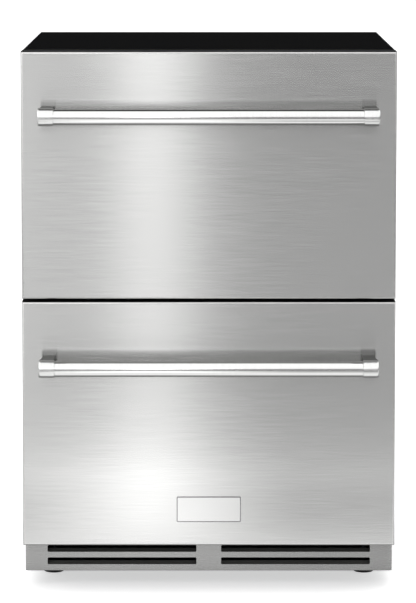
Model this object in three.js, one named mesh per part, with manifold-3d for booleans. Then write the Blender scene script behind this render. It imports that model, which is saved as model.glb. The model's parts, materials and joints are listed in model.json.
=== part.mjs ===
// Undercounter refrigerator: an insulated cabinet with two full-width drawers, a bar handle on each
// drawer front, a slotted toe panel, and the cooling machinery that it needs.
//
// Millimetres. +X is right, +Y is to the back, +Z is up. The origin is on the floor, under the centre
// of the overall box. Inside the cabinet group, Y is counted from the cabinet's front plane. Inside a
// drawer group, Y is counted from the back of the drawer front and Z from its lower edge.

import * as THREE from 'three';
import { mergeVertices } from 'three/addons/utils/BufferGeometryUtils.js';
import Module from 'manifold-3d';

const wasm = await Module();
wasm.setup();

// ---------------------------------------------------------------- fits
const SEAT = 0.3; // between pieces that rest on each other
const RUNNER_FIT = 0.4; // between the nested members of a runner
const OVERCUT = 1; // how far a cutting shape runs past the face that it opens

// ---------------------------------------------------------------- cabinet
const WIDTH = 595; // of the cabinet and of the drawer fronts
const HEIGHT = 876; // floor to cabinet top, feet screwed in
const CABINET_DEPTH = 530; // front plane to rear panel
const BASE_HEIGHT = 27; // floor to the cabinet's underside
const WRAPPER_SHEET = 1.2;
const WALL = 42; // insulated wall, outside to inside
const LINER_SHEET = 2;
const FRAME_SHEET = 1.5;
const REAR_SHEET = 1.2;
const MULLION_HEIGHT = 40;
const MULLION_DEPTH = 60;
const MULLION_SHEET = 1.5;

// ---------------------------------------------------------------- base, air duct and feet
const PAN_SHEET = 1.5;
const PAN_FLANGE = 3.5; // at the sides and the back, from the pan's underside
const DUCT_HEIGHT = 47.5; // pan floor to the deck
const DECK_SHEET = 1.2;
const COVER_RECESS = 6; // machine cover behind the rear panel's face
const FOOT_RADIUS = 16;
const FOOT_PAD = 8;
const FOOT_NUT_RADIUS = 9;
const FOOT_STEM_RADIUS = 5;
const FOOT_STEM_RISE = 35; // stem above the pan's underside
const FOOT_BOSS_RADIUS = 10;
const FOOT_BOSS_DROP = 10.5; // boss below the pan
const FOOT_SIDE_INSET = 40;
const FRONT_FOOT_SETBACK = 117;
const REAR_FOOT_INSET = 50;

// ---------------------------------------------------------------- toe panel
const TOE_HEIGHT = 53;
const TOE_SHEET = 1.5;
const TOE_DEPTH = 3.7; // face to the edges that meet the cabinet
const TOE_CORNER = 4;
const SLOT_HEIGHT = 11.4;
const SLOT_SILL = 10.4; // panel's lower edge to the lower slots
const SLOT_RAIL = 9.1; // between the lower and the upper slots
const SLOT_SIDE_MARGIN = 35.5;
const SLOT_CENTRE_BAR = 40;
const SLOT_CORNER = 2;

// ---------------------------------------------------------------- drawer fronts
const FRONT_THICKNESS = 62;
const GASKET_GAP = 8; // drawer front to cabinet
const FRONT_TOP_DROP = 1.2; // upper front's top below the cabinet's top
const FRONT_BASE_RISE = 56; // lower front's lower edge above the cabinet's underside
const FRONT_GAP = 4.8; // between the two fronts
const SKIN_SHEET = 0.8;
const SKIN_EDGE = 3; // bend radius round the face
const SKIN_RETURN = 6; // how far the skin turns in over the top and bottom
const PANEL_SHEET = 2.5;
const PLUG_DEPTH = 14;
const PLUG_CLEARANCE = 15.5; // beside the plug, in the opening
const GASKET_WIDTH = 13;
const GASKET_INSET = 3.5;

// ---------------------------------------------------------------- handles and badge plate
const HANDLE_DROP = 99.5; // drawer front's top to the bar's axis
const HANDLE_STANDOFF = 52; // drawer face to the bar's axis
const HANDLE_INSET = 29; // drawer front's side to the sleeve's outer end
const BAR_RADIUS = 12.7;
const SLEEVE_RADIUS = 14;
const SLEEVE_LENGTH = 25;
const SLEEVE_CHAMFER = 2;
const SOCKET_DEPTH = 6.5;
const STEM_WIDTH = 21;
const STEM_HEIGHT = 27.4;
const STEM_CORNER = 5;
const STEM_SHOULDER = 0.5; // sleeve's inner end to the stem
const BADGE_WIDTH = 103;
const BADGE_HEIGHT = 41;
const BADGE_THICKNESS = 1.5;
const BADGE_EDGE = 0.6;
const BADGE_RISE = 38; // lower front's lower edge to the plate

// ---------------------------------------------------------------- bins and runners
const BIN_WALL = 2.5;
const BIN_RIM = 6;
const BIN_RIM_THICKNESS = 3;
const BIN_FLOOR_CLEARANCE = 4;
const BIN_HEADROOM = 26;
const BIN_REAR_CLEARANCE = 30;
const RUNNER_HEIGHT = 45;
const RUNNER_THICKNESS = 12.7;
const RUNNER_SHEET = 1.5;
const RUNNER_STEP = 2.2; // from one member's back to the next one's back
const RUNNER_SETBACK = 8;
const RUNNER_REAR_CLEARANCE = 50;
const RUNNER_RISE = 19; // lower runners above the machine hump

// ---------------------------------------------------------------- controls and light
const CONTROL_WIDTH = 220;
const CONTROL_DEPTH = 70;
const CONTROL_HEIGHT = 28;
const CONTROL_SETBACK = 12;
const CONTROL_SHEET = 2;
const CONTROL_FACE = 4; // thickness of its front and its floor
const WINDOW_WIDTH = 60;
const WINDOW_HEIGHT = 14;
const WINDOW_THICKNESS = 2;
const BUTTON_WIDTH = 12;
const BUTTON_HEIGHT = 8;
const BUTTON_PROUD = 2;
const BUTTON_LIP = 1.5;
const BUTTON_OFFSET = 57; // display's middle to the nearest button
const BUTTON_PITCH = 20;
const LENS_WIDTH = 140;
const LENS_DEPTH = 24;
const LENS_THICKNESS = 3;
const POCKET_DEPTH = 2;

// ---------------------------------------------------------------- fans
const FAN_RADIUS = 40;
const FAN_TIP_GAP = 2.5;
const FAN_BLADES = 5;
const FAN_CHORD = 26;
const FAN_PITCH = 32; // degrees
const BLADE_THICKNESS = 1.6;
const HUB_RADIUS = 14;
const HUB_LENGTH = 16;
const SHAFT_RADIUS = 2.5;
const MOTOR_RADIUS = 22;
const MOTOR_LENGTH = 30;
const MOTOR_GAP = 4; // hub to motor
const ARM_WIDTH = 10;
const ARM_SHEET = 3;

// ---------------------------------------------------------------- machine space
const MACHINE_HEADROOM = 24;
const MACHINE_CLEARANCE = 18; // before and behind the deepest piece
const MOUNT_RADIUS = 9;
const MOUNT_HEIGHT = 10;
const COMPRESSOR_RADIUS = 62;
const COMPRESSOR_HEIGHT = 156;
const COMPRESSOR_DROP = 6; // shell below its feet
const SEAM_RING = 3; // how far the welded seam stands out
const SEAM_RING_HEIGHT = 6;
const SHELL_DOME = 34;
const FEET_LENGTH = 150;
const FEET_WIDTH = 110;
const FEET_SHEET = 3;
const SHROUD_SHEET = 2;
const COIL_WIDTH = 130;
const COIL_DEPTH = 120;
const COIL_HEIGHT = 132;
const COIL_RISE = 22;
const COIL_TUBE_RADIUS = 4;
const COIL_STUB = 4; // straight tube outside the end plates
const BEND_SWAGE = 0.6; // return bends are this much larger than the tubes that they fit over
const COIL_RUNS = 4;
const COIL_FINS = 8;
const FIN_SHEET = 1;
const MACHINE_SPACING = 22; // coil bends to the fan plate, and feet bosses to their neighbours
const TRAY_HEIGHT = 15;
const TRAY_WALL = 2;
const TRAY_MARGIN = 5;
const LOUVRE_LENGTH = 80;
const LOUVRE_HEIGHT = 5;
const LOUVRE_PITCH = 14;
const LOUVRE_ROWS = 6;
const LOUVRE_OFFSET = 150; // cabinet's middle to each bank's middle
const LOUVRE_RISE = 60; // pan floor to the lowest louvre
const GLAND_RADIUS = 9;
const GLAND_FLANGE_RADIUS = 13;
const GLAND_FLANGE = 2;
const GLAND_LENGTH = 16;
const GLAND_BORE_RADIUS = 4.5;
const GLAND_INSET = 60; // cabinet's side to the gland
const GLAND_RISE = 30; // pan floor to the gland

// ---------------------------------------------------------------- evaporator
const EVAPORATOR_BOX_HEIGHT = 198;
const EVAPORATOR_BOX_SHEET = 2.5;
const EVAPORATOR_BOX_SETBACK = 3; // behind the machine hump's front
const EVAPORATOR_BOX_MARGIN = 17.5; // beside the runners
const EVAPORATOR_WIDTH = 380;
const EVAPORATOR_DEPTH = 60;
const EVAPORATOR_HEIGHT = 150;
const EVAPORATOR_RISE = 14;
const EVAPORATOR_REAR_GAP = 18;
const EVAPORATOR_FINS = 12;
const INTAKE_LENGTH = 60;
const INTAKE_HEIGHT = 6;
const INTAKE_PITCH = 80;
const INTAKE_COUNT = 4;
const INTAKE_RISE = 16;

// ---------------------------------------------------------------- facets
const ROUND_SIDES = 24;
const CAN_SIDES = 16; // motor cans, fan hubs and the cord gland
const SWEEP_SIDES = 30; // cylinder that trims the fan vanes
const SMALL_SIDES = 12;
const SHAFT_SIDES = 8;
const TUBE_SIDES = 6;
const NUT_SIDES = 6;
const BEND_STEPS = 4;
const DOME_STEPS = 5;

// ---------------------------------------------------------------- derived places, cabinet group
const halfWidth = WIDTH / 2;
const innerHalf = halfWidth - WRAPPER_SHEET - SEAT;
const panFloorZ = BASE_HEIGHT + PAN_SHEET;
const footBossZ = BASE_HEIGHT - FOOT_BOSS_DROP;
const ductTopZ = panFloorZ + DUCT_HEIGHT;
const coverFrontY = CABINET_DEPTH - COVER_RECESS - REAR_SHEET;
const fanHoleRadius = FAN_RADIUS + FAN_TIP_GAP;
const machineStack = Math.max(
  MOUNT_HEIGHT + SEAT + COMPRESSOR_HEIGHT - COMPRESSOR_DROP,
  COIL_RISE + COIL_HEIGHT,
  2 * fanHoleRadius,
);
const machineTopZ = panFloorZ + machineStack + MACHINE_HEADROOM;
const machineReach = Math.max(2 * (COMPRESSOR_RADIUS + SEAM_RING), FEET_WIDTH, COIL_DEPTH);
const machineFrontY = coverFrontY - machineReach - 2 * MACHINE_CLEARANCE;
const machineMidY = (machineFrontY + coverFrontY) / 2;

const cavityHalf = halfWidth - WALL;
const cavityFloorZ = ductTopZ + WALL;
const cavityTopZ = HEIGHT - WALL;
const cavityBackY = CABINET_DEPTH - WALL;
const humpFrontY = machineFrontY - WALL;
const humpTopZ = machineTopZ + WALL;

const upperFrontTopZ = HEIGHT - FRONT_TOP_DROP;
const lowerFrontZ = BASE_HEIGHT + FRONT_BASE_RISE;
const frontHeight = (upperFrontTopZ - lowerFrontZ - FRONT_GAP) / 2;
const upperFrontZ = upperFrontTopZ - frontHeight;
const mullionMidZ = upperFrontZ - FRONT_GAP / 2;
const mullionZ = [mullionMidZ - MULLION_HEIGHT / 2, mullionMidZ + MULLION_HEIGHT / 2];
const controlZ = [cavityTopZ - SEAT - CONTROL_HEIGHT, cavityTopZ - SEAT];

const runnerHalf = cavityHalf - SEAT; // back of the runners, against the liner
const runnerY = [RUNNER_SETBACK, cavityBackY - RUNNER_REAR_CLEARANCE];
const runnerRise = humpTopZ + RUNNER_RISE + RUNNER_HEIGHT / 2 - lowerFrontZ;
const legX = halfWidth - FOOT_SIDE_INSET;
const legYs = { front: FRONT_FOOT_SETBACK, rear: CABINET_DEPTH - REAR_FOOT_INSET };

// ---------------------------------------------------------------- derived places, drawer group
const binHalf = runnerHalf - RUNNER_THICKNESS - SEAT;
const binFloorZ = BIN_FLOOR_CLEARANCE + Math.max(cavityFloorZ - lowerFrontZ, mullionZ[1] - upperFrontZ);
const binTopZ = Math.min(controlZ[0] - upperFrontZ, mullionZ[0] - lowerFrontZ) - BIN_HEADROOM;
const binFrontY = PLUG_DEPTH + SEAT;
const plugHalf = cavityHalf - PLUG_CLEARANCE;
const handleY = -FRONT_THICKNESS - HANDLE_STANDOFF;
const handleZ = frontHeight - HANDLE_DROP;
const sleeveOuterX = halfWidth - HANDLE_INSET;
const sleeveInnerX = sleeveOuterX - SLEEVE_LENGTH;

// The overall box runs from the handle sleeves to the rear panel; its middle is the origin.
const frontReach = GASKET_GAP - handleY + SLEEVE_RADIUS;
const cabinetFrontY = (frontReach - CABINET_DEPTH) / 2;

// ---------------------------------------------------------------- finishes
const finish = (color, roughness, metalness) =>
  new THREE.MeshStandardMaterial({ color, roughness, metalness });
const blackPaint = finish('#141414', 0.45, 0.3);
const brushedStainless = finish('#c6c7c7', 0.35, 1);
const polishedStainless = finish('#e6e7e7', 0.12, 1);
const galvanised = finish('#9a9d9f', 0.5, 0.9);
const copper = finish('#b5754a', 0.35, 1);
const aluminiumFin = finish('#b9bcbe', 0.45, 0.9);
const whiteLiner = finish('#e6e7e5', 0.4, 0);
const darkPlastic = finish('#2b2c2d', 0.5, 0);
const greyPlastic = finish('#8d9092', 0.5, 0);
const clearPlastic = finish('#dfe6ea', 0.15, 0);
const blackRubber = finish('#1b1b1b', 0.8, 0);
const foam = finish('#e2cf9a', 0.9, 0);

// ---------------------------------------------------------------- solids
function toSolid(geometry) {
  const bare = geometry.clone();
  bare.deleteAttribute('normal');
  bare.deleteAttribute('uv');
  const merged = mergeVertices(bare, 1e-4);
  return new wasm.Manifold(new wasm.Mesh({
    numProp: 3,
    vertProperties: new Float32Array(merged.attributes.position.array),
    triVerts: new Uint32Array(merged.index.array),
  }));
}

function toGeometry(solid) {
  const mesh = solid.getMesh();
  const geometry = new THREE.BufferGeometry();
  geometry.setAttribute('position', new THREE.BufferAttribute(new Float32Array(mesh.vertProperties), 3));
  geometry.setIndex(new THREE.BufferAttribute(new Uint32Array(mesh.triVerts), 1));
  return geometry;
}

const join = (...pieces) => toGeometry(pieces.map(toSolid).reduce((all, next) => all.add(next)));
const cut = (piece, ...tools) =>
  toGeometry(tools.map(toSolid).reduce((rest, tool) => rest.subtract(tool), toSolid(piece)));
const overlap = (a, b) => toGeometry(toSolid(a).intersect(toSolid(b)));

// A box between the low and high ends given for each axis.
function block([x0, x1], [y0, y1], [z0, z1]) {
  return new THREE.BoxGeometry(x1 - x0, y1 - y0, z1 - z0)
    .translate((x0 + x1) / 2, (y0 + y1) / 2, (z0 + z1) / 2);
}

// A shape drawn in X and Z, pushed from one Y to another.
function prismY(shape, [y0, y1], curveSegments = 3) {
  return new THREE.ExtrudeGeometry(shape, { depth: y1 - y0, bevelEnabled: false, curveSegments })
    .rotateX(Math.PI / 2)
    .translate(0, y1, 0);
}

// An outline of [y, z] corners, pushed from one X to another.
function prismX(corners, [x0, x1]) {
  const shape = new THREE.Shape(corners.map(([y, z]) => new THREE.Vector2(y, z)));
  const turn = new THREE.Matrix4().makeBasis(
    new THREE.Vector3(0, 1, 0),
    new THREE.Vector3(0, 0, 1),
    new THREE.Vector3(1, 0, 0),
  );
  return new THREE.ExtrudeGeometry(shape, { depth: x1 - x0, bevelEnabled: false })
    .applyMatrix4(turn)
    .translate(x0, 0, 0);
}

// A round bar along one axis, with its two ends on that axis and its centre on the other two.
function rod(axis, radius, [from, to], centre, sides = ROUND_SIDES) {
  const bar = new THREE.CylinderGeometry(radius, radius, to - from, sides);
  const middle = (from + to) / 2;
  if (axis === 'x') return bar.rotateZ(Math.PI / 2).translate(middle, centre[0], centre[1]);
  if (axis === 'y') return bar.translate(centre[0], middle, centre[1]);
  return bar.rotateX(Math.PI / 2).translate(centre[0], centre[1], middle);
}

function roundedRectangle([x0, x1], [z0, z1], radius) {
  const shape = new THREE.Shape();
  shape.absarc(x1 - radius, z0 + radius, radius, -Math.PI / 2, 0);
  shape.absarc(x1 - radius, z1 - radius, radius, 0, Math.PI / 2);
  shape.absarc(x0 + radius, z1 - radius, radius, Math.PI / 2, Math.PI);
  shape.absarc(x0 + radius, z0 + radius, radius, Math.PI, 1.5 * Math.PI);
  return shape;
}

// A plate from its back at Y 0 to its face at -depth, with the edges round the face rolled over.
function rolledPlate(width, height, depth, edge, baseZ = 0) {
  const corners = [[-1, 0], [1, 0], [1, 1], [-1, 1]].map(
    ([side, up]) => new THREE.Vector2(side * (width / 2 - edge), edge + up * (height - 2 * edge)),
  );
  const plate = new THREE.ExtrudeGeometry(new THREE.Shape(corners), {
    depth: depth - edge,
    bevelSize: edge,
    bevelThickness: edge,
    bevelSegments: 3,
  }).rotateX(Math.PI / 2);
  const keep = block([-width, width], [-2 * depth, 0], [-height, 2 * height]);
  return overlap(plate, keep).translate(0, 0, baseZ);
}

function addPiece(group, name, geometry, material) {
  const mesh = new THREE.Mesh(geometry, material);
  mesh.name = name;
  group.add(mesh);
  return mesh;
}

// ---------------------------------------------------------------- cabinet shell
function cabinetWrapper() {
  const outside = block([-halfWidth, halfWidth], [0, CABINET_DEPTH], [BASE_HEIGHT, HEIGHT]);
  const inside = block(
    [-halfWidth + WRAPPER_SHEET, halfWidth - WRAPPER_SHEET],
    [-OVERCUT, CABINET_DEPTH + OVERCUT],
    [BASE_HEIGHT - OVERCUT, HEIGHT - WRAPPER_SHEET],
  );
  return cut(outside, inside);
}

// The cooled space, grown outwards on every side but its open front.
function cavity(grow, frontY) {
  const corners = [
    [frontY, cavityFloorZ - grow],
    [humpFrontY + grow, cavityFloorZ - grow],
    [humpFrontY + grow, humpTopZ - grow],
    [cavityBackY + grow, humpTopZ - grow],
    [cavityBackY + grow, cavityTopZ + grow],
    [frontY, cavityTopZ + grow],
  ];
  return prismX(corners, [-cavityHalf - grow, cavityHalf + grow]);
}

function liner() {
  const frontY = FRAME_SHEET + SEAT;
  return cut(cavity(LINER_SHEET, frontY), cavity(0, frontY - OVERCUT));
}

function cabinetFoam() {
  const frontY = FRAME_SHEET + SEAT;
  const backY = CABINET_DEPTH - REAR_SHEET - SEAT;
  const topZ = HEIGHT - WRAPPER_SHEET - SEAT;
  const overDeck = DECK_SHEET + SEAT;
  const corners = [
    [frontY, ductTopZ + overDeck],
    [machineFrontY - overDeck, ductTopZ + overDeck],
    [machineFrontY - overDeck, machineTopZ + overDeck],
    [backY, machineTopZ + overDeck],
    [backY, topZ],
    [frontY, topZ],
  ];
  return cut(prismX(corners, [-innerHalf, innerHalf]), cavity(LINER_SHEET + SEAT, frontY - OVERCUT));
}

function faceFrame() {
  const plate = block([-innerHalf, innerHalf], [0, FRAME_SHEET], [ductTopZ, HEIGHT - WRAPPER_SHEET - SEAT]);
  const opening = block([-cavityHalf, cavityHalf], [-OVERCUT, WALL], [cavityFloorZ, cavityTopZ]);
  return cut(plate, opening);
}

function mullion() {
  const half = cavityHalf - SEAT;
  const beam = block([-half, half], [0, MULLION_DEPTH], mullionZ);
  const hollow = block(
    [-half - OVERCUT, half + OVERCUT],
    [MULLION_SHEET, MULLION_DEPTH + OVERCUT],
    [mullionZ[0] + MULLION_SHEET, mullionZ[1] - MULLION_SHEET],
  );
  return cut(beam, hollow);
}

function rearPanel() {
  const z = [machineTopZ + DECK_SHEET + SEAT, HEIGHT - WRAPPER_SHEET - SEAT];
  return block([-innerHalf, innerHalf], [CABINET_DEPTH - REAR_SHEET, CABINET_DEPTH], z);
}

// ---------------------------------------------------------------- base and toe panel
const legPlaces = ['front', 'rear'].flatMap((end) =>
  [['left', -1], ['right', 1]].map(([side, sign]) => ({
    name: `${end}_${side}_foot`,
    x: sign * legX,
    y: legYs[end],
  })),
);

const compressorX = -(legX - FOOT_BOSS_RADIUS - MACHINE_SPACING / 2 - FEET_LENGTH / 2);
const mountPlaces = [[-1, -1], [1, -1], [-1, 1], [1, 1]].map(([sideX, sideY]) => [
  compressorX + sideX * (FEET_LENGTH / 2 - MOUNT_RADIUS),
  machineMidY + sideY * (FEET_WIDTH / 2 - MOUNT_RADIUS),
]);

function basePan() {
  const backY = coverFrontY - SEAT;
  const tray = cut(
    block([-innerHalf, innerHalf], [0, backY], [BASE_HEIGHT, BASE_HEIGHT + PAN_FLANGE]),
    block(
      [-innerHalf + PAN_SHEET, innerHalf - PAN_SHEET],
      [-OVERCUT, backY - PAN_SHEET],
      [panFloorZ, BASE_HEIGHT + PAN_FLANGE + OVERCUT],
    ),
  );
  const footBosses = legPlaces.map(({ x, y }) =>
    rod('z', FOOT_BOSS_RADIUS, [footBossZ, panFloorZ], [x, y], SMALL_SIDES));
  const mounts = mountPlaces.map((place) =>
    rod('z', MOUNT_RADIUS, [BASE_HEIGHT, panFloorZ + MOUNT_HEIGHT], place, SMALL_SIDES));
  const footHoles = legPlaces.map(({ x, y }) =>
    rod('z', FOOT_STEM_RADIUS + SEAT, [footBossZ - OVERCUT, panFloorZ + OVERCUT], [x, y], SMALL_SIDES));
  return cut(join(tray, ...footBosses, ...mounts), ...footHoles);
}

function machineDeck() {
  const frontY = FRAME_SHEET + SEAT;
  const backY = CABINET_DEPTH - REAR_SHEET - SEAT;
  const corners = [
    [frontY, ductTopZ],
    [machineFrontY, ductTopZ],
    [machineFrontY, machineTopZ],
    [backY, machineTopZ],
    [backY, machineTopZ + DECK_SHEET],
    [machineFrontY - DECK_SHEET, machineTopZ + DECK_SHEET],
    [machineFrontY - DECK_SHEET, ductTopZ + DECK_SHEET],
    [frontY, ductTopZ + DECK_SHEET],
  ];
  return prismX(corners, [-innerHalf, innerHalf]);
}

function toeGrille() {
  const z = [BASE_HEIGHT, BASE_HEIGHT + TOE_HEIGHT];
  const y = [-SEAT - TOE_DEPTH, -SEAT];
  const outside = prismY(roundedRectangle([-halfWidth, halfWidth], z, TOE_CORNER), y);
  const hollow = block(
    [-halfWidth + TOE_SHEET, halfWidth - TOE_SHEET],
    [y[0] + TOE_SHEET, OVERCUT],
    [z[0] + TOE_SHEET, z[1] - TOE_SHEET],
  );
  const slots = [0, 1].flatMap((row) => [-1, 1].map((side) => {
    const near = side * SLOT_CENTRE_BAR / 2;
    const far = side * (halfWidth - SLOT_SIDE_MARGIN);
    const low = BASE_HEIGHT + SLOT_SILL + row * (SLOT_HEIGHT + SLOT_RAIL);
    const span = [Math.min(near, far), Math.max(near, far)];
    return prismY(roundedRectangle(span, [low, low + SLOT_HEIGHT], SLOT_CORNER), [y[0] - OVERCUT, 0]);
  }));
  return cut(outside, hollow, ...slots);
}

function levellingFoot({ x, y }) {
  const pad = rod('z', FOOT_RADIUS, [0, FOOT_PAD], [x, y]);
  const nut = rod('z', FOOT_NUT_RADIUS, [0, footBossZ - SEAT], [x, y], NUT_SIDES);
  const stem = rod('z', FOOT_STEM_RADIUS, [0, BASE_HEIGHT + FOOT_STEM_RISE], [x, y], SMALL_SIDES);
  return join(pad, nut, stem);
}

// ---------------------------------------------------------------- fans
// A fan stands in a plate. Its own Z is the shaft, Z 0 is the plate's motor side.
const hubBackZ = -HUB_LENGTH / 2;
const motorFrontZ = hubBackZ - MOTOR_GAP;
const motorBackZ = motorFrontZ - MOTOR_LENGTH;

function fanMotor() {
  const reach = fanHoleRadius + ARM_WIDTH;
  const can = rod('z', MOTOR_RADIUS, [motorBackZ, motorFrontZ], [0, 0], CAN_SIDES);
  const shaftZ = [motorBackZ + OVERCUT, HUB_LENGTH / 2 - OVERCUT];
  const shaft = rod('z', SHAFT_RADIUS, shaftZ, [0, 0], SHAFT_SIDES);
  const armZ = [motorBackZ, motorBackZ + ARM_SHEET];
  const half = ARM_WIDTH / 2;
  const bars = [
    block([-reach, reach], [-half, half], armZ),
    block([-half, half], [-reach, reach], armZ),
  ];
  const legs = [[1, 0], [-1, 0], [0, 1], [0, -1]].map(([x, y]) => {
    const out = [reach - ARM_SHEET, reach];
    const span = (sign) => (sign ? out.map((value) => sign * value).sort((a, b) => a - b) : [-half, half]);
    return block(span(x), span(y), [motorBackZ, -SEAT]);
  });
  return join(can, shaft, ...bars, ...legs);
}

function fanBlade() {
  const hub = rod('z', HUB_RADIUS, [hubBackZ, HUB_LENGTH / 2], [0, 0], CAN_SIDES);
  const vanes = Array.from({ length: FAN_BLADES }, (_, index) =>
    block([HUB_RADIUS / 2, FAN_RADIUS + OVERCUT], [-FAN_CHORD / 2, FAN_CHORD / 2],
      [-BLADE_THICKNESS / 2, BLADE_THICKNESS / 2])
      .rotateX(THREE.MathUtils.degToRad(FAN_PITCH))
      .rotateZ((index / FAN_BLADES) * 2 * Math.PI));
  const sweep = rod('z', FAN_RADIUS, [hubBackZ, HUB_LENGTH / 2], [0, 0], SWEEP_SIDES);
  const boreZ = [hubBackZ - OVERCUT, HUB_LENGTH / 2 + OVERCUT];
  const bore = rod('z', SHAFT_RADIUS + SEAT, boreZ, [0, 0], SHAFT_SIDES);
  return cut(overlap(join(hub, ...vanes), sweep), bore);
}

function addFan(parent, name, place, turn) {
  const group = new THREE.Group();
  group.position.set(...place);
  group.rotation.set(...turn);
  addPiece(group, `${name}_fan_motor`, fanMotor(), galvanised);
  addPiece(group, `${name}_fan_blade`, fanBlade(), darkPlastic);
  parent.add(group);
}

// ---------------------------------------------------------------- coils
// The centre line of a return bend, from one straight run up to the next one.
class ReturnBend extends THREE.Curve {
  constructor(radius, side) {
    super();
    this.radius = radius;
    this.side = side;
  }

  getPoint(t) {
    const angle = (t - 0.5) * Math.PI;
    return new THREE.Vector3(this.side * this.radius * Math.cos(angle), 0, this.radius * Math.sin(angle));
  }
}

function returnBend(radius, side) {
  const ring = new THREE.Shape().absarc(0, 0, COIL_TUBE_RADIUS + BEND_SWAGE, 0, 2 * Math.PI);
  return new THREE.ExtrudeGeometry(ring, {
    extrudePath: new ReturnBend(radius, side),
    steps: BEND_STEPS,
    curveSegments: TUBE_SIDES / 2,
    bevelEnabled: false,
  });
}

// Straight tubes through upright fins, joined by return bends outside the two end plates, which reach
// down to what carries the coil. Its own origin is there, under the coil's middle.
function finnedCoil({ width, depth, height, rise, fins }) {
  const pitch = height / COIL_RUNS;
  const endX = width / 2 + COIL_STUB;
  const runs = Array.from({ length: COIL_RUNS }, (_, run) => rise + (run + 0.5) * pitch);
  const tubes = runs.map((z) =>
    rod('x', COIL_TUBE_RADIUS, [-endX - COIL_STUB / 2, endX + COIL_STUB / 2], [0, z], TUBE_SIDES));
  const bends = runs.slice(1).map((z, index) => {
    const side = index % 2 ? -1 : 1;
    return returnBend(pitch / 2, side).translate(side * endX, 0, z - pitch / 2);
  });
  const sheets = Array.from({ length: fins }, (_, index) => {
    const atEnd = index === 0 || index === fins - 1;
    const x = -width / 2 + (index / (fins - 1)) * (width - FIN_SHEET);
    return block([x, x + FIN_SHEET], [-depth / 2, depth / 2], [atEnd ? 0 : rise, rise + height]);
  });
  return join(...tubes, ...bends, ...sheets);
}

// ---------------------------------------------------------------- machine space
function compressor() {
  const shellTop = COMPRESSOR_HEIGHT - COMPRESSOR_DROP;
  const dome = Array.from({ length: DOME_STEPS + 1 }, (_, index) => {
    const angle = (index / DOME_STEPS) * (Math.PI / 2);
    return { radius: COMPRESSOR_RADIUS * Math.sin(angle), rise: SHELL_DOME * (1 - Math.cos(angle)) };
  });
  const lower = dome.map(({ radius, rise }) => new THREE.Vector2(radius, rise - COMPRESSOR_DROP));
  const upper = dome.map(({ radius, rise }) => new THREE.Vector2(radius, shellTop - rise)).reverse();
  const shell = new THREE.LatheGeometry([...lower, ...upper], ROUND_SIDES).rotateX(Math.PI / 2);
  const seamZ = shellTop / 2 - COMPRESSOR_DROP;
  const seam = rod('z', COMPRESSOR_RADIUS + SEAM_RING, [seamZ, seamZ + SEAM_RING_HEIGHT], [0, 0]);
  const feet = block(
    [-FEET_LENGTH / 2, FEET_LENGTH / 2],
    [-FEET_WIDTH / 2, FEET_WIDTH / 2],
    [0, FEET_SHEET],
  );
  return join(shell, seam, feet);
}

const coilRightX = legX - FOOT_BOSS_RADIUS - MACHINE_SPACING / 2;
const coilMidX = coilRightX - COIL_WIDTH / 2;
const shroudX = coilRightX - COIL_WIDTH - COIL_STUB - COIL_HEIGHT / COIL_RUNS / 2 - MACHINE_SPACING;
const fanZ = (panFloorZ + machineTopZ) / 2;

function fanShroud() {
  const plate = block(
    [shroudX, shroudX + SHROUD_SHEET],
    [machineFrontY + SEAT, coverFrontY - PAN_SHEET - 2 * SEAT],
    [panFloorZ + SEAT, machineTopZ - SEAT],
  );
  return cut(plate, rod('x', fanHoleRadius, [shroudX - OVERCUT, shroudX + SHROUD_SHEET + OVERCUT],
    [machineMidY, fanZ]));
}

function dripTray() {
  const halfX = COIL_WIDTH / 2 - TRAY_MARGIN;
  const halfY = COIL_DEPTH / 2;
  const baseZ = panFloorZ + SEAT;
  return cut(
    block([-halfX, halfX], [-halfY, halfY], [baseZ, baseZ + TRAY_HEIGHT]),
    block([-halfX + TRAY_WALL, halfX - TRAY_WALL], [-halfY + TRAY_WALL, halfY - TRAY_WALL],
      [baseZ + TRAY_WALL, baseZ + TRAY_HEIGHT + OVERCUT]),
  ).translate(coilMidX, machineMidY, 0);
}

const glandX = GLAND_INSET - halfWidth;
const glandZ = panFloorZ + GLAND_RISE;

function machineCover() {
  const y = [coverFrontY, coverFrontY + REAR_SHEET];
  const through = [y[0] - OVERCUT, y[1] + OVERCUT];
  const sheet = block([-innerHalf, innerHalf], y, [BASE_HEIGHT, machineTopZ - SEAT]);
  const louvres = Array.from({ length: LOUVRE_ROWS }, (_, row) => [-1, 1].map((side) => {
    const x = side * LOUVRE_OFFSET;
    const z = panFloorZ + LOUVRE_RISE + row * LOUVRE_PITCH;
    return block([x - LOUVRE_LENGTH / 2, x + LOUVRE_LENGTH / 2], through, [z, z + LOUVRE_HEIGHT]);
  })).flat();
  return cut(sheet, ...louvres, rod('y', GLAND_RADIUS + SEAT, through, [glandX, glandZ], CAN_SIDES));
}

function cordGland() {
  const outY = coverFrontY + REAR_SHEET + SEAT;
  const endY = outY + GLAND_FLANGE;
  const neck = rod('y', GLAND_RADIUS, [endY - GLAND_LENGTH, endY], [0, 0], CAN_SIDES);
  const flange = rod('y', GLAND_FLANGE_RADIUS, [outY, endY], [0, 0], CAN_SIDES);
  const boreY = [endY - GLAND_LENGTH - OVERCUT, endY + OVERCUT];
  const bore = rod('y', GLAND_BORE_RADIUS, boreY, [0, 0], SMALL_SIDES);
  return cut(join(neck, flange), bore).translate(glandX, 0, glandZ);
}

// ---------------------------------------------------------------- evaporator
const boxHalf = cavityHalf - RUNNER_THICKNESS - EVAPORATOR_BOX_MARGIN;
const boxFrontY = humpFrontY + EVAPORATOR_BOX_SETBACK;
const boxZ = [humpTopZ + SEAT, humpTopZ + SEAT + EVAPORATOR_BOX_HEIGHT];
const evaporatorFanZ = boxZ[1] - EVAPORATOR_BOX_SHEET - fanHoleRadius - ARM_WIDTH - 2 * ARM_SHEET;

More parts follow.
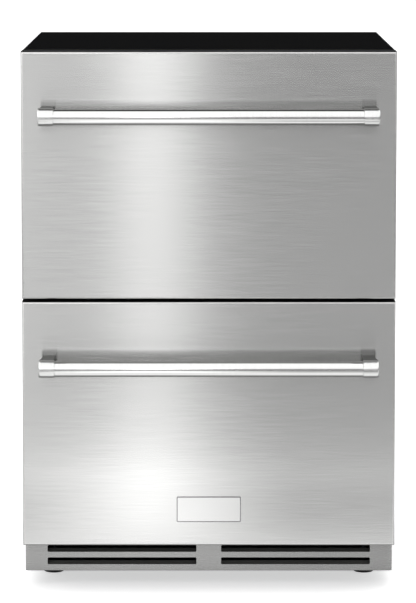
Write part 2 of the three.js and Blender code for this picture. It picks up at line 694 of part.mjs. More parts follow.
function evaporatorBox() {
  const backY = cavityBackY - SEAT;
  const shell = cut(
    block([-boxHalf, boxHalf], [boxFrontY, backY], boxZ),
    block(
      [-boxHalf + EVAPORATOR_BOX_SHEET, boxHalf - EVAPORATOR_BOX_SHEET],
      [boxFrontY + EVAPORATOR_BOX_SHEET, backY + OVERCUT],
      [boxZ[0] - OVERCUT, boxZ[1] - EVAPORATOR_BOX_SHEET],
    ),
  );
  const through = [boxFrontY - OVERCUT, boxFrontY + EVAPORATOR_BOX_SHEET + OVERCUT];
  const intakes = Array.from({ length: INTAKE_COUNT }, (_, index) => {
    const x = (index - (INTAKE_COUNT - 1) / 2) * INTAKE_PITCH;
    const z = boxZ[0] + INTAKE_RISE;
    return block([x - INTAKE_LENGTH / 2, x + INTAKE_LENGTH / 2], through, [z, z + INTAKE_HEIGHT]);
  });
  return cut(shell, rod('y', fanHoleRadius, through, [0, evaporatorFanZ]), ...intakes);
}

// ---------------------------------------------------------------- controls and light
const controlY = [CONTROL_SETBACK, CONTROL_SETBACK + CONTROL_DEPTH];
const controlMidZ = (controlZ[0] + CONTROL_FACE + controlZ[1]) / 2;
const buttonPlaces = [
  { name: 'power_button', x: -BUTTON_OFFSET },
  { name: 'warmer_button', x: BUTTON_OFFSET },
  { name: 'colder_button', x: BUTTON_OFFSET + BUTTON_PITCH },
];

// A block centred on X 0 and on a height, for what sits in the control housing's face.
function faceBlock(width, y, height, middleZ) {
  return block([-width / 2, width / 2], y, [middleZ - height / 2, middleZ + height / 2]);
}

function controlHousing() {
  const half = CONTROL_WIDTH / 2;
  const shell = cut(
    block([-half, half], controlY, controlZ),
    block(
      [-half + CONTROL_SHEET, half - CONTROL_SHEET],
      [controlY[0] + CONTROL_FACE, controlY[1] - CONTROL_SHEET],
      [controlZ[0] + CONTROL_FACE, controlZ[1] + OVERCUT],
    ),
  );
  const faceY = [controlY[0] - OVERCUT, controlY[0] + POCKET_DEPTH];
  const pocket = faceBlock(WINDOW_WIDTH + 2 * SEAT, faceY, WINDOW_HEIGHT + 2 * SEAT, controlMidZ);
  const holes = buttonPlaces.map(({ x }) =>
    faceBlock(BUTTON_WIDTH + 2 * SEAT, [controlY[0] - OVERCUT, controlY[0] + CONTROL_FACE + OVERCUT],
      BUTTON_HEIGHT + 2 * SEAT, controlMidZ).translate(x, 0, 0));
  const lensSeat = lensBlock(SEAT, [controlZ[0] - OVERCUT, controlZ[0] + POCKET_DEPTH]);
  return cut(shell, pocket, ...holes, lensSeat);
}

function lensBlock(grow, z) {
  const middleY = (controlY[0] + controlY[1]) / 2;
  const halfX = LENS_WIDTH / 2 + grow;
  const halfY = LENS_DEPTH / 2 + grow;
  return block([-halfX, halfX], [middleY - halfY, middleY + halfY], z);
}

function displayWindow() {
  const backY = controlY[0] + POCKET_DEPTH - SEAT;
  return faceBlock(WINDOW_WIDTH, [backY - WINDOW_THICKNESS, backY], WINDOW_HEIGHT, controlMidZ);
}

function lightLens() {
  const topZ = controlZ[0] + POCKET_DEPTH - SEAT;
  return lensBlock(0, [topZ - LENS_THICKNESS, topZ]);
}

// A button's cap passes through the housing's face and a lip behind the face keeps it in.
function button() {
  const lipY = controlY[0] + CONTROL_FACE + SEAT;
  const capY = [controlY[0] - BUTTON_PROUD, lipY + BUTTON_LIP];
  const cap = faceBlock(BUTTON_WIDTH, capY, BUTTON_HEIGHT, controlMidZ);
  const lip = faceBlock(BUTTON_WIDTH + 2 * BUTTON_LIP, [lipY, lipY + BUTTON_LIP],
    BUTTON_HEIGHT + 2 * BUTTON_LIP, controlMidZ);
  return join(cap, lip);
}

// ---------------------------------------------------------------- runners
// Three nested channels, drawn for the right-hand side about the runner's middle height: the outer one
// against the liner, the middle one inside it, and the drawer's own one facing the other way.
function channel(backX, openX, halfHeight) {
  const web = Math.sign(openX - backX) * RUNNER_SHEET;
  const spanX = [Math.min(backX, openX), Math.max(backX, openX)];
  const hollowX = [backX + web, openX + Math.sign(web) * OVERCUT].sort((a, b) => a - b);
  const halfHollow = halfHeight - RUNNER_SHEET;
  return cut(
    block(spanX, runnerY, [-halfHeight, halfHeight]),
    block(hollowX, [runnerY[0] - OVERCUT, runnerY[1] + OVERCUT], [-halfHollow, halfHollow]),
  );
}

const runnerInnerX = runnerHalf - RUNNER_THICKNESS;
const memberHeights = [0, 1, 2].map((depth) => RUNNER_HEIGHT / 2 - depth * (RUNNER_SHEET + RUNNER_FIT));
const runnerMembers = {
  cabinet: () => channel(runnerHalf, runnerInnerX + RUNNER_STEP + RUNNER_SHEET, memberHeights[0]),
  middle: () => channel(runnerHalf - RUNNER_STEP, runnerInnerX + RUNNER_STEP, memberHeights[1]),
  drawer: () => channel(runnerInnerX, runnerHalf - 2 * RUNNER_STEP, memberHeights[2]),
};

// The left-hand member is the right-hand one turned half round about the direction of travel.
function addRunner(parent, member, name, side, height, alongY = 0) {
  const mesh = addPiece(parent, name, runnerMembers[member](), galvanised);
  mesh.position.set(0, alongY, height);
  mesh.rotation.y = side === 'left' ? Math.PI : 0;
}

// ---------------------------------------------------------------- drawers
function frontSkin() {
  const outer = rolledPlate(WIDTH, frontHeight, FRONT_THICKNESS, SKIN_EDGE);
  const inner = rolledPlate(
    WIDTH - 2 * SKIN_SHEET,
    frontHeight - 2 * SKIN_SHEET,
    FRONT_THICKNESS - SKIN_SHEET + OVERCUT,
    SKIN_EDGE - SKIN_SHEET,
    SKIN_SHEET,
  ).translate(0, OVERCUT, 0);
  const half = halfWidth - SKIN_SHEET;
  const behindReturns = block(
    [-half, half],
    [SKIN_RETURN - FRONT_THICKNESS, OVERCUT],
    [-OVERCUT, frontHeight + OVERCUT],
  );
  return cut(outer, inner, behindReturns);
}

// The inner panel closes the front's back, top and bottom, and its plug stands into the opening.
function frontInnerPanel() {
  const half = halfWidth - SKIN_SHEET - SEAT;
  const edgeY = SKIN_RETURN - FRONT_THICKNESS + SEAT;
  const tray = cut(
    block([-half, half], [edgeY, 0], [0, frontHeight]),
    block(
      [-half - OVERCUT, half + OVERCUT],
      [edgeY - OVERCUT, -PANEL_SHEET],
      [PANEL_SHEET, frontHeight - PANEL_SHEET],
    ),
  );
  const plug = block([-plugHalf, plugHalf], [-PANEL_SHEET, PLUG_DEPTH], [binFloorZ, binTopZ]);
  return cut(join(tray, plug), plugFilling(0, -PANEL_SHEET - OVERCUT));
}

// The space inside the plug, drawn in by a gap on every side.
function plugFilling(gap, frontY) {
  const inset = PANEL_SHEET + gap;
  return block(
    [-plugHalf + inset, plugHalf - inset],
    [frontY, PLUG_DEPTH - inset],
    [binFloorZ + inset, binTopZ - inset],
  );
}

function frontFoam() {
  const inset = SKIN_SHEET + 2 * SEAT;
  const backY = -PANEL_SHEET - SEAT;
  const bandZ = PANEL_SHEET + SEAT;
  const slab = rolledPlate(
    WIDTH - 2 * inset,
    frontHeight - 2 * bandZ,
    FRONT_THICKNESS - SKIN_SHEET - SEAT + backY,
    SKIN_EDGE,
    bandZ,
  ).translate(0, backY, 0);
  return join(slab, plugFilling(SEAT, backY - OVERCUT));
}

function gasket() {
  const ring = (inset) => [
    [-halfWidth + inset, halfWidth - inset],
    [inset, frontHeight - inset],
  ];
  const [outerX, outerZ] = ring(GASKET_INSET);
  const [innerX, innerZ] = ring(GASKET_INSET + GASKET_WIDTH);
  return cut(
    block(outerX, [SEAT, GASKET_GAP - SEAT], outerZ),
    block(innerX, [SEAT - OVERCUT, GASKET_GAP + OVERCUT], innerZ),
  );
}

// Open at the top, with a rim that is folded outwards above the runners.
function bin(backY) {
  const rimHalf = binHalf + BIN_RIM;
  const rimZ = [binTopZ - BIN_RIM_THICKNESS, binTopZ];
  const body = join(
    block([-binHalf, binHalf], [binFrontY, backY], [binFloorZ, binTopZ]),
    block([-rimHalf, rimHalf], [binFrontY, backY], rimZ),
  );
  const inside = block(
    [-binHalf + BIN_WALL, binHalf - BIN_WALL],
    [binFrontY + BIN_WALL, backY - BIN_WALL],
    [binFloorZ + BIN_WALL, binTopZ + OVERCUT],
  );
  return cut(body, inside);
}

// A post and its sleeve at the right-hand end, about the bar's middle.
function handlePost() {
  const profile = [
    [0, 0],
    [SLEEVE_RADIUS, 0],
    [SLEEVE_RADIUS, SLEEVE_LENGTH - SLEEVE_CHAMFER],
    [SLEEVE_RADIUS - SLEEVE_CHAMFER, SLEEVE_LENGTH],
    [0, SLEEVE_LENGTH],
  ].map(([radius, along]) => new THREE.Vector2(radius, along));
  const sleeve = new THREE.LatheGeometry(profile, ROUND_SIDES)
    .rotateZ(-Math.PI / 2)
    .translate(sleeveInnerX, 0, 0);
  const stemShape = roundedRectangle(
    [-STEM_WIDTH / 2, STEM_WIDTH / 2],
    [-STEM_HEIGHT / 2, STEM_HEIGHT / 2],
    STEM_CORNER,
  );
  const stem = prismY(stemShape, [0, HANDLE_STANDOFF - SEAT])
    .translate(sleeveInnerX + STEM_SHOULDER + STEM_WIDTH / 2, 0, 0);
  const socket = rod('x', BAR_RADIUS + SEAT, [sleeveInnerX - OVERCUT, sleeveInnerX + SOCKET_DEPTH], [0, 0]);
  return cut(join(sleeve, stem), socket);
}

function handleBar() {
  const half = sleeveInnerX + SOCKET_DEPTH - SEAT;
  return rod('x', BAR_RADIUS, [-half, half], [0, 0]);
}

function addHandle(parent, prefix) {
  const handle = new THREE.Group();
  handle.position.set(0, handleY, handleZ);
  addPiece(handle, `${prefix}_handle_bar`, handleBar(), polishedStainless);
  addPiece(handle, `${prefix}_handle_post_right`, handlePost(), polishedStainless);
  const left = addPiece(handle, `${prefix}_handle_post_left`, handlePost(), polishedStainless);
  left.rotation.y = Math.PI;
  parent.add(handle);
}

function addDrawer(parent, prefix, baseZ, binBackY) {
  const drawer = new THREE.Group();
  drawer.position.set(0, -GASKET_GAP, baseZ);
  addPiece(drawer, `${prefix}_front_skin`, frontSkin(), brushedStainless);
  addPiece(drawer, `${prefix}_front_inner_panel`, frontInnerPanel(), darkPlastic);
  addPiece(drawer, `${prefix}_front_foam`, frontFoam(), foam);
  addPiece(drawer, `${prefix}_gasket`, gasket(), blackRubber);
  addPiece(drawer, `${prefix}_bin`, bin(binBackY + GASKET_GAP), greyPlastic);
  addHandle(drawer, prefix);
  for (const side of ['left', 'right']) {
    addRunner(drawer, 'drawer', `${prefix}_${side}_drawer_runner`, side, runnerRise, GASKET_GAP);
  }
  parent.add(drawer);
  return drawer;
}

function badgePlate() {
  return rolledPlate(BADGE_WIDTH, BADGE_HEIGHT, BADGE_THICKNESS, BADGE_EDGE, BADGE_RISE)
    .translate(0, -FRONT_THICKNESS - SEAT, 0);
}

// ---------------------------------------------------------------- assembly
function addShell(cabinet) {
  addPiece(cabinet, 'cabinet_wrapper', cabinetWrapper(), blackPaint);
  addPiece(cabinet, 'cabinet_foam', cabinetFoam(), foam);
  addPiece(cabinet, 'liner', liner(), whiteLiner);
  addPiece(cabinet, 'face_frame', faceFrame(), blackPaint);
  addPiece(cabinet, 'mullion', mullion(), blackPaint);
  addPiece(cabinet, 'rear_panel', rearPanel(), galvanised);
}

function addBase(cabinet) {
  addPiece(cabinet, 'base_pan', basePan(), galvanised);
  addPiece(cabinet, 'machine_deck', machineDeck(), galvanised);
  addPiece(cabinet, 'toe_grille', toeGrille(), brushedStainless);
  for (const place of legPlaces) {
    addPiece(cabinet, place.name, levellingFoot(place), blackRubber);
  }
}

function addMachinery(cabinet) {
  const compressorMesh = addPiece(cabinet, 'compressor', compressor(), blackPaint);
  compressorMesh.position.set(compressorX, machineMidY, panFloorZ + MOUNT_HEIGHT + SEAT);
  const coil = addPiece(cabinet, 'condenser_coil', finnedCoil({
    width: COIL_WIDTH,
    depth: COIL_DEPTH,
    height: COIL_HEIGHT,
    rise: COIL_RISE,
    fins: COIL_FINS,
  }), copper);
  coil.position.set(coilMidX, machineMidY, panFloorZ + SEAT);
  addPiece(cabinet, 'condenser_fan_shroud', fanShroud(), galvanised);
  addFan(cabinet, 'condenser', [shroudX, machineMidY, fanZ], [0, Math.PI / 2, 0]);
  addPiece(cabinet, 'drip_tray', dripTray(), darkPlastic);
  addPiece(cabinet, 'machine_cover', machineCover(), blackPaint);
  addPiece(cabinet, 'cord_gland', cordGland(), blackRubber);
}

function addEvaporator(cabinet) {
  addPiece(cabinet, 'evaporator_housing', evaporatorBox(), whiteLiner);
  const coil = addPiece(cabinet, 'evaporator_coil', finnedCoil({
    width: EVAPORATOR_WIDTH,
    depth: EVAPORATOR_DEPTH,
    height: EVAPORATOR_HEIGHT,
    rise: EVAPORATOR_RISE,
    fins: EVAPORATOR_FINS,
  }), aluminiumFin);
  coil.position.set(0, cavityBackY - EVAPORATOR_REAR_GAP - EVAPORATOR_DEPTH / 2, boxZ[0]);
  const plateBackY = boxFrontY + EVAPORATOR_BOX_SHEET;
  addFan(cabinet, 'evaporator', [0, plateBackY, evaporatorFanZ], [Math.PI / 2, 0, 0]);
}

function addControls(cabinet) {
  addPiece(cabinet, 'control_housing', controlHousing(), darkPlastic);
  addPiece(cabinet, 'display_window', displayWindow(), clearPlastic);
  addPiece(cabinet, 'light_lens', lightLens(), clearPlastic);
  for (const { name, x } of buttonPlaces) {
    addPiece(cabinet, name, button(), greyPlastic).position.x = x;
  }
}

function addCabinetRunners(cabinet) {
  const heights = { upper: upperFrontZ + runnerRise, lower: lowerFrontZ + runnerRise };
  for (const [prefix, height] of Object.entries(heights)) {
    for (const side of ['left', 'right']) {
      addRunner(cabinet, 'cabinet', `${prefix}_${side}_cabinet_runner`, side, height);
      addRunner(cabinet, 'middle', `${prefix}_${side}_middle_runner`, side, height);
    }
  }
}

const refrigerator = new THREE.Group();
refrigerator.position.y = cabinetFrontY;
addShell(refrigerator);
addBase(refrigerator);
addMachinery(refrigerator);
addEvaporator(refrigerator);
addControls(refrigerator);
addCabinetRunners(refrigerator);
addDrawer(refrigerator, 'upper', upperFrontZ, cavityBackY - BIN_REAR_CLEARANCE);
const lowerDrawer = addDrawer(refrigerator, 'lower', lowerFrontZ, humpFrontY - BIN_REAR_CLEARANCE);
addPiece(lowerDrawer, 'badge_plate', badgePlate(), brushedStainless);

export default refrigerator;
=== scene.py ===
# Undercounter refrigerator with two drawers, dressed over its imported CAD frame. Metres, with sizes
# written in millimetres times MM. +X is right, +Y is to the back and +Z is up.
import json
import math

import bmesh
import bpy
from mathutils import Matrix, Vector


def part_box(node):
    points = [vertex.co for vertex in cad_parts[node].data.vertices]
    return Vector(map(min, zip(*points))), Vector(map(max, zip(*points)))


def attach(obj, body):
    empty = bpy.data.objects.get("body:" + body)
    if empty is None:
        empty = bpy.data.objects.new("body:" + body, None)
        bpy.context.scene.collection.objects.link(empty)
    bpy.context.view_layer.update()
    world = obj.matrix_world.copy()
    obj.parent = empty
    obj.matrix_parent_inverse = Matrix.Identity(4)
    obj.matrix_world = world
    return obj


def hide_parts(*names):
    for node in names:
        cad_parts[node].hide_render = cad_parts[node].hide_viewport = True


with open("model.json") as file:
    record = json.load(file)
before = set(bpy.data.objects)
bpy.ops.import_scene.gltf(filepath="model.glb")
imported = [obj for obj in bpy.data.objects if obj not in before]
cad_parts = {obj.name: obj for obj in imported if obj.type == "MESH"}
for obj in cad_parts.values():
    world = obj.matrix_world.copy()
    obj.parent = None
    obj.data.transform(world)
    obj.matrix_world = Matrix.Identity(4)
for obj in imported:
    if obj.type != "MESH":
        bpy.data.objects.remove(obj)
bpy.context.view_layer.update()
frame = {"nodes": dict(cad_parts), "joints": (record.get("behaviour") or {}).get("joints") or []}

MM = 0.001
OVERCUT = 2 * MM  # how far a cutting shape runs past what it cuts
FIT = 0.3 * MM  # clearance between pieces that fit into each other

# ---------------------------------------------------------------- camera
CAMERA_PLACE = (-0.00125, -5.29259, 1.15887)
LOOK_DOWN = 5.934  # degrees
bpy.ops.object.camera_add(location=CAMERA_PLACE, rotation=(math.radians(90 - LOOK_DOWN), 0, 0))
camera = bpy.context.object
camera.name = "camera"
camera.data.lens = 190.17
camera.data.shift_y = -0.165
bpy.context.scene.camera = camera
bpy.context.scene.view_settings.view_transform = "Standard"


# ---------------------------------------------------------------- nodes and colours
def colour(code):
    """An sRGB hex colour as linear RGBA."""
    parts = [int(code[i : i + 2], 16) / 255 for i in (1, 3, 5)]
    return [p / 12.92 if p <= 0.04045 else ((p + 0.055) / 1.055) ** 2.4 for p in parts] + [1]


def add(tree, kind, inputs=None, **settings):
    """Adds a node. Inputs are values, or the sockets that feed them, by name or number."""
    made = tree.nodes.new("ShaderNode" + kind)
    for name, value in settings.items():
        setattr(made, name, value)
    for name, value in (inputs or {}).items():
        if isinstance(value, bpy.types.NodeSocket):
            tree.links.new(value, made.inputs[name])
        else:
            made.inputs[name].default_value = value
    return made.outputs


WHITE = colour("#ffffff")
SOFT_STEP = {"interpolation_type": "SMOOTHSTEP"}

# ---------------------------------------------------------------- studio
# Brightness that gloss sees, where 1 is white.
ROOM_LEFT = 0.74  # the room, far to the left
BAND_LEFT = 0.46  # right beside the lit band
BAND_RISE = 1.56  # how much brighter the band is
BAND_FALL = 1.78  # how much darker the room is to the right of the band
ROOM_LIFT = 1.4  # how much brighter the room is at its foot
ROOM_MOST = 2.1  # the brightest that the room gets
WINDOW_GAIN = 1.7  # just above eye level the room is this many times as bright,
WINDOW_BASE = 0.8  # and this is added
CEILING = 1.45
BELT = 0.02  # dark belt at the foot of the room
GROUND = 1.2  # under the belt, and on the floor close to the object
FLOOR_FAR = 0.7  # floor further out
FLOOR_STREAK = 1.2  # the band's own gleam on that floor
PAINTED_FLOOR_SHADOW = 0.15  # painted shadow on the floor under the object, as gloss sees it
DARK_BEHIND = 0.0  # wall behind the object
SECOND_LOOK = 0.35  # share of the studio that is left in the reflection of a reflection
# Where that changes: degrees to the right of the way to the camera, and heights of a unit direction.
LEFT_TURNS = (-3.6, -2.4)
RISE_TURNS = (-1.9, -1.05)
FALL_TURNS = (-1.05, 0.1)
BEHIND_TURNS = (130, 160)
LIFT_HEIGHTS = (-0.19, -0.11)
WINDOW_HEIGHTS = (0.08, 0.14)
CEILING_HEIGHTS = (0.35, 0.5)
BELT_HEIGHTS = (-0.22, -0.19)
GROUND_HEIGHTS = (-0.4, -0.36)
WALL_HEIGHTS = (-0.1, 0.0)
TOP_HEIGHTS = (0.98, 1.0)
# Where the floor changes, in metres to the front or back of the object's middle.
UNDER_REACH = (0.22, 0.36)
CLOSE_REACH = (0.6, 0.8)
FLOOR_END = (1.15, 1.25)
STREAK_LEFT = 0.112  # the gleam's middle
STREAK_HALF = 0.3
SOFT_LIGHT = 0.8  # the world's light on everything that isn't gloss
FLOOR_GLOW = 0.55  # brings the floor up to white before the camera
LAMPS_AIM = Vector((0, 0, 0.45))


def fade_again(tree, path, level):
    """Weakens a level in the reflection of a reflection."""
    again = add(tree, "MapRange", {0: path["Glossy Depth"], 1: 1.0, 2: 2.0, 3: 1.0, 4: SECOND_LOOK})[0]
    return add(tree, "Math", {0: level, 1: again}, operation="MULTIPLY")[0]


def build_world():
    """A white studio. Gloss sees a bright ceiling, a lit upright band before the object with a darker
    room beside it, a dark belt at the foot of the room, a bright floor, and a dark wall behind the
    object. The camera sees white, and the rest soft light."""
    world = bpy.data.worlds.new("studio")
    bpy.context.scene.world = world
    world.use_nodes = True
    tree = world.node_tree
    tree.nodes.clear()
    way = add(tree, "SeparateXYZ", {0: add(tree, "TexCoord")["Generated"]})
    ahead = add(tree, "Math", {0: way["Y"], 1: -1.0}, operation="MULTIPLY")[0]
    turn = add(tree, "Math", {0: way["X"], 1: ahead}, operation="ARCTAN2")[0]
    sides = add(tree, "Math", {0: turn}, operation="ABSOLUTE")[0]
    left, rise, fall, behind = (
        add(tree, "MapRange", {0: angle, 1: math.radians(start), 2: math.radians(end), 3: low, 4: high},
            **SOFT_STEP)[0]
        for angle, (start, end), low, high in (
            (turn, LEFT_TURNS, ROOM_LEFT, BAND_LEFT),
            (turn, RISE_TURNS, 0.0, BAND_RISE),
            (turn, FALL_TURNS, 0.0, BAND_FALL),
            (sides, BEHIND_TURNS, 0.0, 1.0),
        )
    )
    room = add(tree, "Math", {0: left, 1: rise}, operation="ADD")[0]
    room = add(tree, "Math", {0: room, 1: fall}, operation="SUBTRACT")[0]
    start, end = LIFT_HEIGHTS
    lift = add(tree, "MapRange", {0: way["Z"], 1: start, 2: end, 3: ROOM_LIFT, 4: 0.0})[0]
    room = add(tree, "Math", {0: room, 1: lift}, operation="ADD")[0]
    room = add(tree, "Math", {0: room, 1: ROOM_MOST}, operation="MINIMUM")[0]
    window = add(tree, "Math", {0: room, 1: WINDOW_GAIN, 2: WINDOW_BASE}, operation="MULTIPLY_ADD")[0]
    over_eye, ceiling, over_belt, over_ground, top = (
        add(tree, "MapRange", {0: way["Z"], 1: start, 2: end}, **SOFT_STEP)[0]
        for start, end in (WINDOW_HEIGHTS, CEILING_HEIGHTS, BELT_HEIGHTS, GROUND_HEIGHTS, TOP_HEIGHTS)
    )
    front = add(tree, "Mix", {0: over_eye, 2: room, 3: window})[0]
    front = add(tree, "Mix", {0: ceiling, 2: front, 3: CEILING})[0]
    front = add(tree, "Mix", {0: over_belt, 2: BELT, 3: front})[0]
    front = add(tree, "Mix", {0: over_ground, 2: GROUND, 3: front})[0]
    start, end = WALL_HEIGHTS
    wall = add(tree, "MapRange", {0: way["Z"], 1: start, 2: end, 3: GROUND / 2, 4: DARK_BEHIND})[0]
    wall = add(tree, "Mix", {0: top, 2: wall, 3: CEILING})[0]
    studio = add(tree, "Mix", {0: behind, 2: front, 3: wall})[0]
    path = add(tree, "LightPath")
    studio = fade_again(tree, path, studio)
    plain, glossy, white = (
        add(tree, "Background", {"Color": WHITE, "Strength": level})[0]
        for level in (SOFT_LIGHT, studio, 1.0)
    )
    lit = add(tree, "MixShader", {0: path["Is Glossy Ray"], 1: plain, 2: glossy})[0]
    seen = add(tree, "MixShader", {0: path["Is Camera Ray"], 1: lit, 2: white})[0]
    add(tree, "OutputWorld", {0: seen})


def build_floor():
    """A pale matt floor that comes up to white with distance, and keeps the shadow. Gloss sees it
    bright near the object, with a painted shadow under it, and past that sees the studio's own floor."""
    bpy.ops.mesh.primitive_plane_add(size=80, location=(0, 0, 0))
    floor = bpy.context.object
    floor.name = "floor"
    made = bpy.data.materials.new("pale_studio_floor")
    made.use_nodes = True
    tree = made.node_tree
    tree.nodes.clear()
    place = add(tree, "SeparateXYZ", {0: add(tree, "TexCoord")["Object"]})
    reach = add(tree, "Math", {0: place["Y"]}, operation="ABSOLUTE")[0]
    aside = add(tree, "Math", {0: place["X"], 1: STREAK_LEFT}, operation="ADD")[0]
    aside = add(tree, "Math", {0: aside}, operation="ABSOLUTE")[0]
    level = add(tree, "MapRange", {0: aside, 1: 0.0, 2: STREAK_HALF, 3: FLOOR_FAR + FLOOR_STREAK,
                                   4: FLOOR_FAR}, **SOFT_STEP)[0]
    under, close, edge = (
        add(tree, "MapRange", {0: reach, 1: start, 2: end}, **SOFT_STEP)[0]
        for start, end in (UNDER_REACH, CLOSE_REACH, FLOOR_END)
    )
    level = add(tree, "Mix", {0: close, 2: GROUND, 3: level})[0]
    # Gloss sees a painted shadow on the floor under the object.
    level = add(tree, "Mix", {0: under, 2: PAINTED_FLOOR_SHADOW, 3: level})[0]
    path = add(tree, "LightPath")
    level = fade_again(tree, path, level)
    matt = add(tree, "BsdfDiffuse", {"Color": colour("#f2f2f2")})[0]
    glow = add(tree, "Emission", {"Color": WHITE, "Strength": FLOOR_GLOW})[0]
    lit = add(tree, "AddShader", {0: matt, 1: glow})[0]
    plain = add(tree, "MixShader", {0: path["Is Camera Ray"], 1: matt, 2: lit})[0]
    open_room = add(tree, "BsdfTransparent")[0]
    bright = add(tree, "Emission", {"Color": WHITE, "Strength": level})[0]
    gloss = add(tree, "MixShader", {0: edge, 1: bright, 2: open_room})[0]
    seen = add(tree, "MixShader", {0: path["Is Glossy Ray"], 1: plain, 2: gloss})[0]
    add(tree, "OutputMaterial", {0: seen})
    floor.data.materials.append(made)


def add_softbox(name, place, size, power):
    bpy.ops.object.light_add(type="AREA", location=place)
    lamp = bpy.context.object
    lamp.name = name
    lamp.data.size = size
    lamp.data.energy = power
    lamp.visible_glossy = False
    lamp.rotation_euler = (LAMPS_AIM - Vector(place)).to_track_quat("-Z", "Y").to_euler()


build_world()
build_floor()
add_softbox("key_softbox", (-2.2, -2.8, 2.6), 2.2, 38)
add_softbox("top_softbox", (0.3, -0.6, 3.2), 2.5, 22)


# ---------------------------------------------------------------- materials
def finish(name, tones, gloss, spacing, stretch=(1, 1, 1), depth=0, kind="TexNoise", **sockets):
    """A material whose tone and gloss run between two ends over one pattern. Its spacing is in
    metres, and longer along each axis by its stretch. A depth in metres presses it into the surface."""
    made = bpy.data.materials.new(name)
    made.use_nodes = True
    tree = made.node_tree
    tree.nodes.clear()
    place = add(tree, "TexCoord")["Object"]
    place = add(tree, "Mapping", {0: place, "Scale": [1 / (spacing * s) for s in stretch]})[0]
    pattern = add(tree, kind, {"Vector": place, "Scale": 1.0})["Color"]
    pattern = add(tree, "SeparateColor", {0: pattern})[0]
    if kind == "TexNoise":
        pattern = add(tree, "MapRange", {0: pattern, 1: 0.3, 2: 0.7})[0]
    inputs = {socket.replace("_", " "): value for socket, value in sockets.items()}
    if "Anisotropic" in sockets:
        inputs["Tangent"] = add(tree, "Tangent", direction_type="RADIAL", axis="Z")[0]
    if depth:
        inputs["Normal"] = add(tree, "Bump", {"Height": pattern, "Distance": depth})[0]
    low, high = (colour(tone) for tone in tones)
    inputs["Base Color"] = add(tree, "Mix", {0: pattern, 6: low, 7: high}, data_type="RGBA")[2]
    inputs["Roughness"] = add(tree, "MapRange", {0: pattern, 3: gloss[0], 4: gloss[1]})[0]
    shader = add(tree, "BsdfPrincipled", inputs)[0]
    add(tree, "OutputMaterial", {0: shader})
    return made


BRUSHED = {"Metallic": 1, "Anisotropic": 1.0, "Anisotropic_Rotation": 0.25}
materials = {
    # 430 stainless, belt-brushed along the width: reflections smear up and down into soft bands.
    # The real lines are 0.1 to 0.2 mm apart, and are drawn 1 mm apart so that they show.
    "brushed_stainless": finish(
        "brushed_430_stainless", ("#cbcbca", "#d3d3d2"), (0.145, 0.165), 1 * MM, (70, 70, 1), **BRUSHED),
    # 304 stainless tube, satin-polished round and round: a soft-edged mirror.
    "polished_stainless": finish(
        "satin_polished_304_stainless", ("#d7d7d6", "#dcdcdb"), (0.07, 0.1), 1.2 * MM, (1, 30, 30),
        Metallic=1),
    # Black polyester powder coat on steel: a low satin sheen over fine orange peel 1.5 mm across.
    "black_cabinet_paint": finish(
        "black_powder_coat", ("#040405", "#060607"), (0.34, 0.42), 1.5 * MM, depth=0.02 * MM,
        Specular_IOR_Level=0.2),
    # Hot-dip galvanised steel: spangle, crystals some 12 mm across that differ in tone and gloss.
    "galvanised_steel": finish(
        "hot_dip_galvanised_steel", ("#9fa4a7", "#b6babc"), (0.38, 0.48), 12 * MM, kind="TexVoronoi",
        Metallic=0.9),
    # Bright zinc-plated roll-formed steel: bluish, drawn along its length by the rolls.
    "runner_steel": finish(
        "zinc_plated_steel", ("#b0b6bc", "#c2c8cc"), (0.26, 0.38), 1.5 * MM, (1, 60, 1), Metallic=1),
    # Drawn copper tube, a little tarnished in cloudy patches some 20 mm across.
    "copper_tube": finish("drawn_copper", ("#a4603a", "#c98557"), (0.24, 0.42), 20 * MM, Metallic=1),
    # Mill-finish aluminium fin stock: a pale, dull sheen with rolling lines 1 mm apart.
    "aluminium_fins": finish(
        "mill_aluminium", ("#bcbfc1", "#c9cccd"), (0.34, 0.46), 1 * MM, (1, 40, 1), Metallic=1),
    # High-impact polystyrene liner: white, smooth, with a slow ripple from the vacuum mould.
    "white_liner": finish(
        "vacuum_formed_white_polystyrene", ("#e6e7e5", "#ebecea"), (0.3, 0.42), 25 * MM,
        depth=0.1 * MM),
    # Black ABS with a fine spark-eroded grain.
    "dark_plastic": finish(
        "moulded_black_abs", ("#1b1c1d", "#1f2021"), (0.45, 0.57), 1.2 * MM, depth=0.03 * MM,
        Specular_IOR_Level=0.4),
    # Grey polypropylene bins, smooth with a waxy sheen.
    "bin_plastic": finish(
        "moulded_grey_polypropylene", ("#989b9d", "#9da0a2"), (0.37, 0.49), 2 * MM,
        depth=0.03 * MM),
    # Grey ABS buttons, finely grained.
    "button_plastic": finish(
        "moulded_grey_abs", ("#828587", "#888b8d"), (0.4, 0.52), 1 * MM, depth=0.02 * MM),
    # Smoked acrylic window: dark and glossy, with a slight haze.
    "smoked_window": finish(
        "smoked_acrylic", ("#292a2c", "#2c2d2f"), (0.04, 0.08), 4 * MM, IOR=1.49,
        Transmission_Weight=0.6),
    # Opal acrylic diffuser: milky and dull.
    "light_diffuser": finish(
        "opal_acrylic", ("#eeeee9", "#f3f3ee"), (0.4, 0.46), 4 * MM, IOR=1.49,
        Transmission_Weight=0.4),
    # Extruded black PVC and EPDM rubber: matt, with a faint bloom.
    "black_rubber": finish(
        "extruded_black_rubber", ("#141414", "#1a1a1a"), (0.7, 0.82), 3 * MM, depth=0.03 * MM,
        Specular_IOR_Level=0.3),
    # Black polyamide foot pads.
    "foot_plastic": finish(
        "moulded_black_polyamide", ("#18181a", "#1d1d1e"), (0.5, 0.62), 1.5 * MM, depth=0.04 * MM),
    # Rigid polyurethane foam: dull cream, with open cells drawn 1.5 mm across.
    "insulation_foam": finish(
        "rigid_polyurethane_foam", ("#c9b27c", "#e8d6a6"), (0.88, 0.92), 1.5 * MM, depth=0.3 * MM,
        kind="TexVoronoi"),
}
